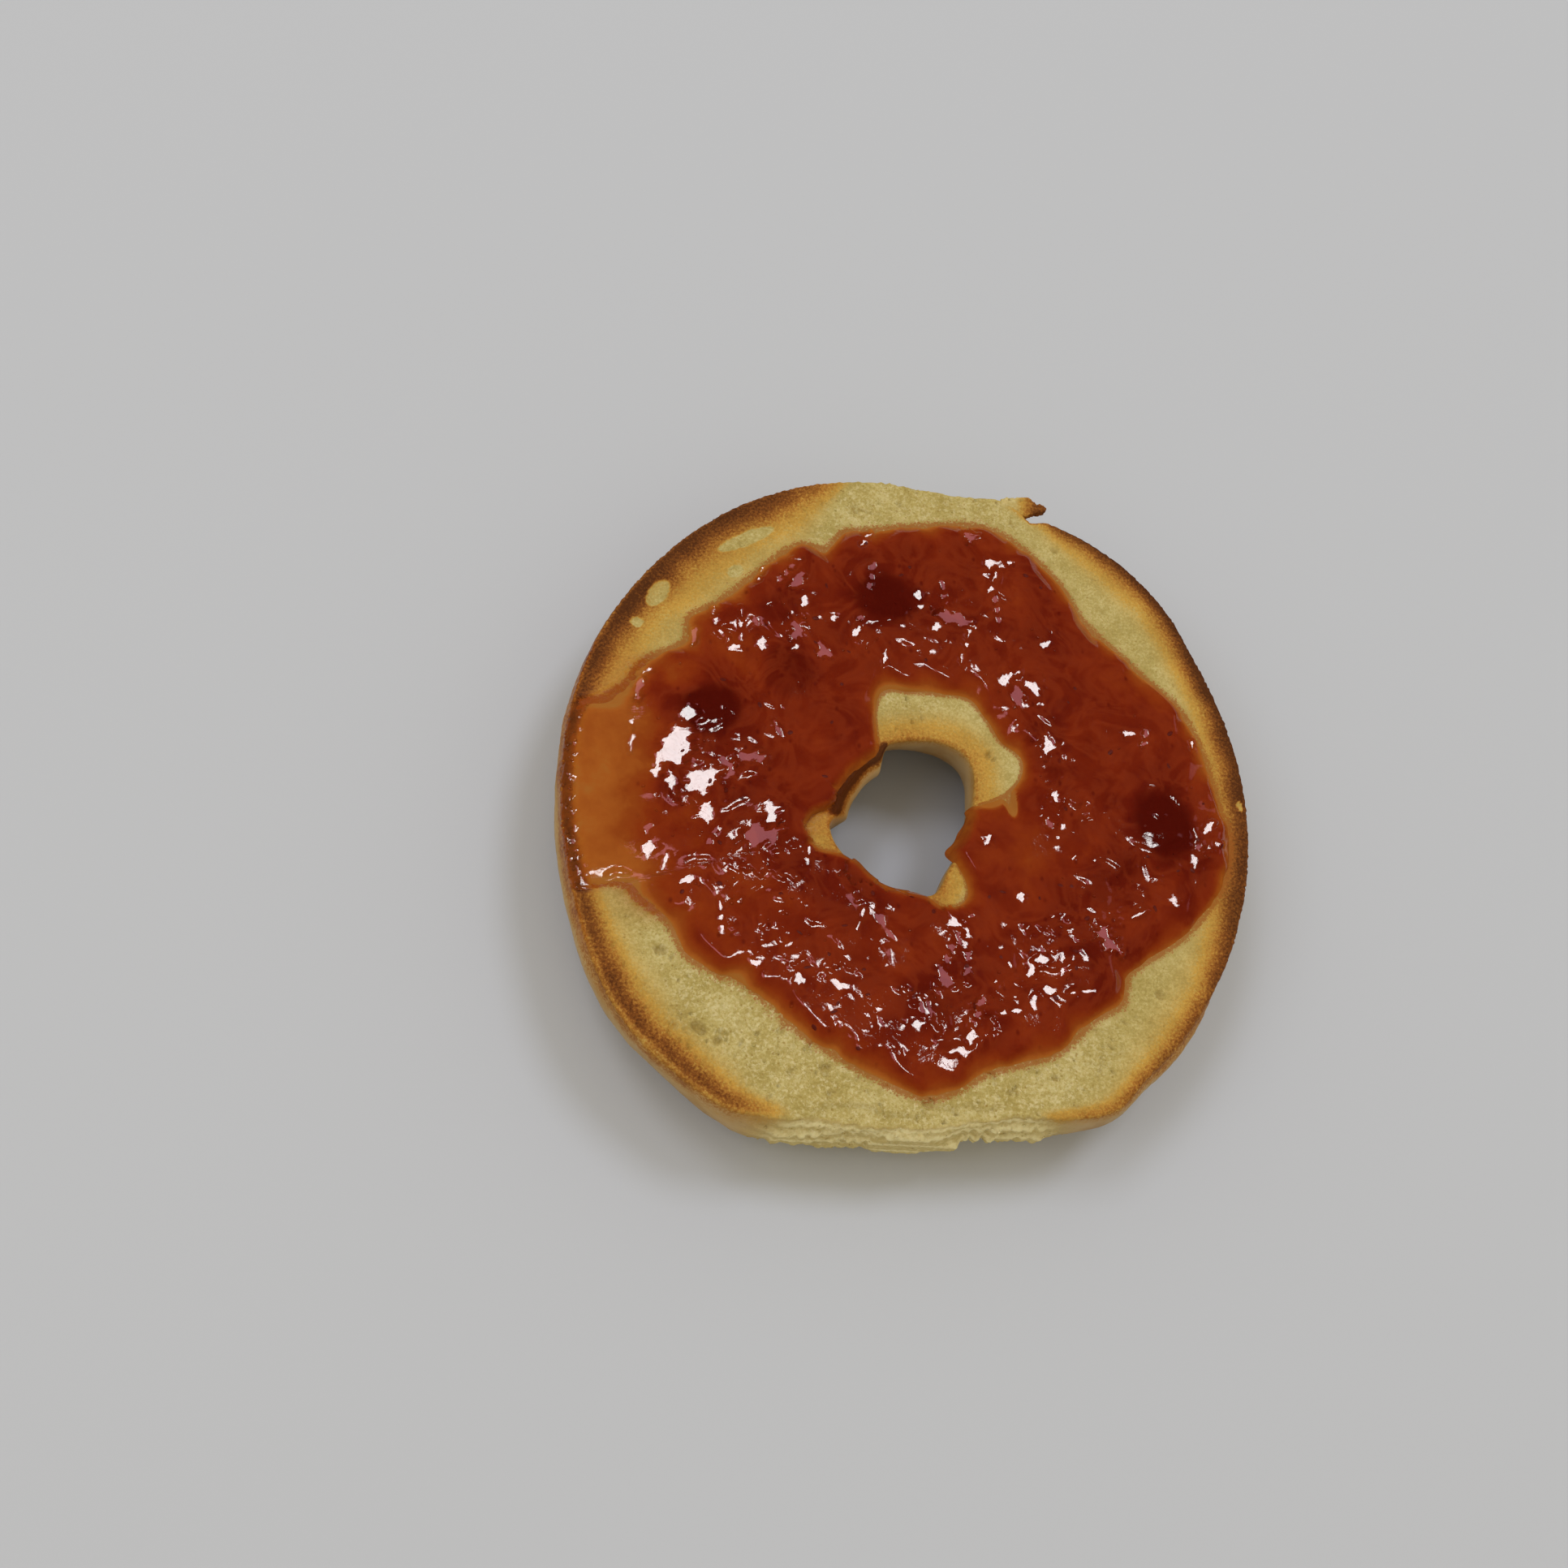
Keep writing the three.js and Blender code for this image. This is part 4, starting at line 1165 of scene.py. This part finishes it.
def jamTree():
    tree, start = newTree("jam_relief", jamRelief)
    spot = seededSpot(start)
    body, lively, film, top, toast, thick = carried(tree, "body", "lively", "film", "top", "toast", "thick")

    swell = minus(grain(spot, start["Swell Size"], 1.0), 0.5)
    swells = times(swell, times(start["Swell Height"], 2.0))
    lumps = times(fade(grain(spot, start["Lump Size"], 1.0, 0.4, 0.5), 0.42, 0.6), start["Lump Height"])
    ridge = calc("ABSOLUTE", minus(grain(spot, start["Crease Size"], 1.0, 0.4, 0.8), 0.5))
    creases = times(fade(ridge, 0.0, 0.045, 1.0, 0.0), start["Crease Height"])
    distance, chance = cells(spot, start["Bead Size"])
    bead = times(fade(distance, 0.0, 0.3, 1.0, 0.0), fade(chance, 0.75, 0.9))
    beads = times(bead, start["Bead Height"])
    upper = times(plus(swells, times(plus(lumps, plus(creases, beads)), lively)), body)

    froth = put(spot, "ShaderNodeTexVoronoi", {
        "Vector": spot, "Scale": perSize(spot, start["Film Size"]), "Smoothness": 0.25,
    }, feature="SMOOTH_F1").outputs["Distance"]
    bubbles = times(minus(0.5, froth), start["Film Height"])
    filmRise = times(times(bubbles, film), fade(toast, 0.15, 0.5))

    height = times(plus(upper, filmRise), top)
    relief = moved(start["Geometry"], put(tree, "ShaderNodeCombineXYZ", {"Z": height}).outputs[0])
    endTree(stored(relief, "deep", plus(thick, calc("DIVIDE", height, mm))), start["Material"])
    return tree


jamColours = {name: tint(*shown) for name, shown in {
    "edge": (158, 98, 40),
    "thin": (160, 86, 30),
    "amber": (140, 64, 20),
    "orange": (132, 49, 15),
    "red": (115, 34, 12),
    "deepRed": (98, 24, 10),
    "dark": (76, 14, 6),
    "fleck": (80, 14, 8),
    "stream": (150, 60, 26),
    # painted shade along the jam's very edge
    "line": (110, 44, 20),
    "overCrumb": (170, 100, 34),
    "overGold": (160, 86, 22),
    "overBrown": (132, 62, 20),
    "overBurnt": (84, 36, 14),
}.items()}


jamLook = {  # pattern sizes in millimetres, then its finish
    "clouds": 6.0,
    "pulp": 1.6,
    "strands": 7.0,
    "flecks": 1.7,
    "skin": 0.4,
    "fullDepth": 3.2,  # depth at which it is darkest
    "roughness": (0.03, 0.07),
    "ior": 1.46,
    "bump": (1.0, 0.012),
    "softness": (0.2, (1.0, 0.3, 0.15), 1.5),
}


def jamMaterial():
    made, shader, spot = newMaterial("red_jam")
    deep, toast, edge = painted(spot, "deep", "toast", "edge")
    shades, look = jamColours, jamLook
    cloud = grain(spot, look["clouds"] * mm, 3.0, 0.55)
    pulp = grain(spot, look["pulp"] * mm, 5.0, 0.65, 0.5)
    uneven = plus(times(minus(cloud, 0.5), 1.3), times(minus(pulp, 0.5), 0.6))
    seen = timesPlus(uneven, fade(deep, 0.0, 0.9, 0.35, 1.0), deep)
    body = ramp(calc("DIVIDE", seen, look["fullDepth"]), shades, {
        0.0: "edge", 0.04: "thin", 0.12: "amber", 0.24: "orange", 0.38: "red", 0.55: "deepRed", 0.85: "dark"})

    # the toast that shows through, most of all at the border
    below = ramp(timesPlus(minus(pulp, 0.5), 0.6, toast), shades, {
        0.1: "overCrumb", 0.3: "overGold", 0.55: "overBrown", 0.85: "overBurnt"})
    through = times(fade(toast, 0.1, 0.6), fade(deep, 0.2, 1.3, 0.9, 0.0))
    border = timesPlus(minus(pulp, 0.5), 0.8, edge)
    bordered = colours(fade(border, 0.1, 1.3, 0.4, 0.0), colours(through, body, below), below)
    # a thin line of painted shade where the jam's edge meets the bread
    edgeShadeLined = colours(fade(edge, 0.1, 0.4, 0.25, 0.0), bordered, shades["line"])

    # strands and flecks of fruit within
    flow = grain(spot, look["strands"] * mm, 3.0, 0.6, 1.0)
    strand = fade(calc("ABSOLUTE", minus(flow, 0.5)), 0.0, 0.13, 1.0, 0.0)
    strandShare = times(fade(deep, 0.6, 1.4, 0.0, 0.24), fade(deep, 1.8, 2.6, 1.0, 0.0))
    streamed = colours(times(strand, strandShare), edgeShadeLined, shades["stream"])
    squeezed = put(spot, "ShaderNodeMapping", {"Vector": spot, "Scale": (1.0, 0.7, 0.3)}).outputs[0]
    distance, chance = cells(squeezed, look["flecks"] * mm)
    fleck = times(fade(distance, 0.06, 0.26, 1.0, 0.0), fade(chance, 0.6, 0.75))
    inside = times(fleck, fade(deep, 0.3, 0.9, 0.0, 0.6))

    skin = grain(spot, look["skin"] * mm, 2.0, 0.6, 0.5)
    feed(shader, {
        "Base Color": colours(inside, streamed, shades["fleck"]),
        "Roughness": fade(pulp, 0.3, 0.7, *look["roughness"]),
        "IOR": look["ior"],
        "Normal": bumped(skin, *look["bump"]),
    })
    soften(shader, *look["softness"])
    return made


def toastOnFace(x, y):  # the toast of the bread below a spot
    rimGap, holeGap = crustGaps(x, y)
    return rimToast(anglesOf(x, y)[0], np.maximum(rimGap, 0)) + holeToasting(holeGap)


def makeJam():
    mesh, points, values = ringMesh("jam_spread", jamRings())
    values["toast"] = toastOnFace(points[:, 0], points[:, 1])
    return dress(addPiece("jam_spread", mesh), values, jamTree(), jamMaterial(), jamRelief)


# scattered bits, each its own piece

def scatterTree(name, sizes, share, lying):  # small bits over a surface, thickest where the share is high
    tree, start = newTree(name, sizes)
    size, seed = start["Size"], start["Seed"]
    density = times(share(tree), times(start["Per Square Centimetre"], 1e4))
    strewn = put(tree, "GeometryNodeDistributePointsOnFaces", {
        "Mesh": start["Geometry"], "Density": density, "Seed": seed}).outputs
    ball = put(tree, "GeometryNodeMeshIcoSphere", {"Radius": times(size, 0.5), "Subdivisions": 2}).outputs[0]
    place = put(tree, "GeometryNodeInputPosition").outputs[0]
    lump = minus(grain(place, times(size, 0.6), 1.0), 0.5)
    bit = raised(ball, times(lump, times(size, start["Lumpy"])))
    scale = put(tree, "FunctionNodeRandomValue", {0: lying[0], 1: lying[1], "Seed": seed},
                data_type="FLOAT_VECTOR").outputs[0]
    turn = put(tree, "FunctionNodeRandomValue", {2: -3.14, 3: 3.14, "Seed": seed},
               data_type="FLOAT").outputs[1]
    spin = put(tree, "ShaderNodeCombineXYZ", {"Z": turn}).outputs[0]
    placed = put(tree, "GeometryNodeInstanceOnPoints", {
        "Points": strewn[0], "Instance": bit, "Rotation": strewn[2], "Scale": scale}).outputs[0]
    turned = put(tree, "GeometryNodeRotateInstances", {"Instances": placed, "Rotation": spin}).outputs[0]
    endTree(turned, start["Material"])
    return tree


def scatterOver(surface, tree, material, sizes):
    piece = addPiece(tree.name, surface.data.copy())
    runTree(piece, tree, material, sizes)
    piece.data.shade_smooth()
    return piece


crumbBits = {
    "Size": 0.42 * mm,
    "Lumpy": 0.9,
    "Per Square Centimetre": 26.0,
    "Seed": 5,
}
jamBubbles = {
    "Size": 0.55 * mm,
    "Lumpy": 0.0,
    "Per Square Centimetre": 7.0,
    "Seed": 8,
}
fruitSpecks = {
    "Size": 0.8 * mm,
    "Lumpy": 0.3,
    "Per Square Centimetre": 1.3,
    "Seed": 21,
}
bitSizes = {  # smallest and largest scale along, across and up
    "crumb": ((0.5, 0.4, 0.2), (1.5, 1.1, 0.5)),
    "bubble": ((0.4, 0.4, 0.25), (1.2, 1.1, 0.6)),
    "speck": ((0.6, 0.4, 0.04), (1.5, 0.8, 0.09)),
}


def roughCrumb(tree):  # the torn sides and the coarse crumb beside them
    bare, rough, toast, torn = carried(tree, "bare", "rough", "toast", "torn")
    crumb = calc("MAXIMUM", times(bare, times(rough, 0.12)), torn)
    return times(crumb, fade(toast, 0.1, 0.3, 1.0, 0.0))


def lumpyJam(tree):
    lively, body, film, toast, top = carried(tree, "lively", "body", "film", "toast", "top")
    clear = times(fade(lively, 0.3, 1.0, 0.1, 1.0), body)
    frothy = times(film, fade(toast, 0.3, 0.6, 0.0, 12.0))
    return times(plus(clear, frothy), top)


def deepJam(tree):
    deep, top = carried(tree, "deep", "top")
    return times(fade(deep, 0.6, 1.2), top)


def makeSpeckSkin():
    made, shader, spot = newMaterial("fruit_skin")
    patchy = grain(spot, 0.7 * mm, 2.0)
    feed(shader, {
        "Base Color": colours(patchy, jamColours["dark"], jamColours["deepRed"]),
        "Roughness": 0.4,
        "Specular IOR Level": 0.2,
    })
    return made


# table, light and camera

studio = {
    "floorSize": 6.0,
    "floor": tint(187, 187, 187),
    "ambient": 0.62,
    "ambientColour": (1.08, 1.02, 0.86, 1.0),
    "distance": 2.5,  # of every lamp
    # lamps: direction, width and height in metres, radiance, whether it shows in gloss alone
    "backRight": ((0.36, 0.36, 0.86), 0.8, 0.8, 9.4, False),
    "backLeft": ((-0.36, 0.36, 0.86), 0.8, 0.8, 5.6, False),
    "left": ((-0.64, 0, 0.77), 1.3, 1.3, 2.0, False),
    "lamp": ((0.15, 0.14, 0.977), 0.36, 0.36, 22.0, True),
    "window": ((-0.08, 0.08, 0.99), 0.6, 0.5, 4.2, True),
    "wall": ((0.8, 0.35, 0.5), 0.5, 1.2, 0.9, True),
    "windowColour": (1.0, 0.43, 0.52),
    "skyColour": (0.89, 0.97, 1.2),
}

cameraView = {
    "azimuth": -24.3,
    "elevation": 64.3,
    "roll": 26.6,
    "aim": (-19.8, -1.7, 16.0),  # where the view's middle meets the cut face
    "distance": 271.3,
    "lens": 42.86,
}


def makeFloor():
    half = studio["floorSize"] / 2
    mesh = bpy.data.meshes.new("floor")
    corners = [(-half, -half, 0), (half, -half, 0), (half, half, 0), (-half, half, 0)]
    mesh.from_pydata(corners, [], [(0, 1, 2, 3)])
    made, shader = newMaterial("pale_floor")[:2]
    feed(shader, {"Base Color": studio["floor"], "Roughness": 0.9, "Specular IOR Level": 0.2})
    mesh.materials.append(made)
    addPiece("floor", mesh)


def frameFrom(back, up=(0, 0, 1)):  # a turn whose Z points back
    back = np.array(back) / np.linalg.norm(back)
    right = np.cross(up, back)
    right /= np.linalg.norm(right)
    return np.column_stack([right, np.cross(back, right), back])


def makeLight(name):
    toward, width, height, radiance, inGloss = studio[name]
    lamp = bpy.data.lights.new(name, "AREA")
    lamp.shape = "ELLIPSE"
    lamp.size = width
    lamp.size_y = height
    lamp.energy = radiance * np.pi * np.pi * width * height / 4
    made = addPiece(name, lamp)
    away = np.array(toward) / np.linalg.norm(toward)
    turn = Matrix(frameFrom(away).tolist()).to_4x4()
    made.matrix_world = Matrix.Translation((away * studio["distance"]).tolist()) @ turn
    made.visible_glossy = inGloss
    made.visible_diffuse = not inGloss
    return lamp


def makeStudio():
    world = bpy.data.worlds.new("studio")
    bpy.context.scene.world = world
    world.use_nodes = True
    sky = world.node_tree.nodes["Background"]
    feed(sky, {"Color": studio["ambientColour"], "Strength": studio["ambient"]})
    world.cycles_visibility.glossy = False
    makeLight("lamp")
    for name in ("window", "wall"):
        makeLight(name).color = studio["windowColour"]
    for name in ("backRight", "backLeft", "left"):
        makeLight(name).color = studio["skyColour"]
    bpy.context.scene.view_settings.view_transform = "Standard"


def cameraFrame():  # place in metres, then right, up and back
    azimuth, elevation, roll = np.radians([cameraView[key] for key in ("azimuth", "elevation", "roll")])
    flat = np.cos(elevation)
    back = np.array([np.sin(azimuth) * flat, -np.cos(azimuth) * flat, np.sin(elevation)])
    level = np.array([np.cos(azimuth), np.sin(azimuth), 0])
    upright = np.cross(back, level)
    right = level * np.cos(roll) + upright * np.sin(roll)
    up = upright * np.cos(roll) - level * np.sin(roll)
    return (np.array(cameraView["aim"]) + back * cameraView["distance"]) * mm, right, up, back


def makeCamera():
    place, right, up, back = cameraFrame()
    lens = bpy.data.cameras.new("camera")
    lens.lens = cameraView["lens"]
    lens.sensor_width = 36.0
    lens.clip_start = 0.01
    camera = addPiece("camera", lens)
    turn = Matrix(np.column_stack([right, up, back]).tolist()).to_4x4()
    camera.matrix_world = Matrix.Translation(place.tolist()) @ turn
    bpy.context.scene.camera = camera


def keepInside(piece):  # nothing stands out of the solids' box
    points = np.clip(pointsOf(piece.data), np.array(cadLow), np.array(cadHigh))
    piece.data.vertices.foreach_set("co", points.ravel())
    piece.data.update()


makeCamera()
makeFloor()
makeStudio()
print("camera, floor and lights placed")

bread = makeBread()
keepInside(bread)
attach(bread, "root")
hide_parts("bagel_half")
print("bread made:", len(bread.data.polygons), "faces")

flake = makeFlake()
keepInside(flake)
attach(flake, "root")
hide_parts("bagel_half")

jam = makeJam()
keepInside(jam)
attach(jam, "root")
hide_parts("jam")
print("jam made:", len(jam.data.polygons), "faces")

crumbs = scatterOver(bread, scatterTree("crumb_bits", crumbBits, roughCrumb, bitSizes["crumb"]),
                     bpy.data.materials["toasted_bread"], crumbBits)
bubbles = scatterOver(jam, scatterTree("jam_bubbles", jamBubbles, lumpyJam, bitSizes["bubble"]),
                      bpy.data.materials["red_jam"], jamBubbles)
specks = scatterOver(jam, scatterTree("fruit_specks", fruitSpecks, deepJam, bitSizes["speck"]),
                     makeSpeckSkin(), fruitSpecks)
for piece, node in ((crumbs, "bagel_half"), (bubbles, "jam"), (specks, "jam")):
    keepInside(piece)
    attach(piece, "root")
    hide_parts(node)
    print(piece.name, "strewn:", len(piece.data.polygons), "faces")
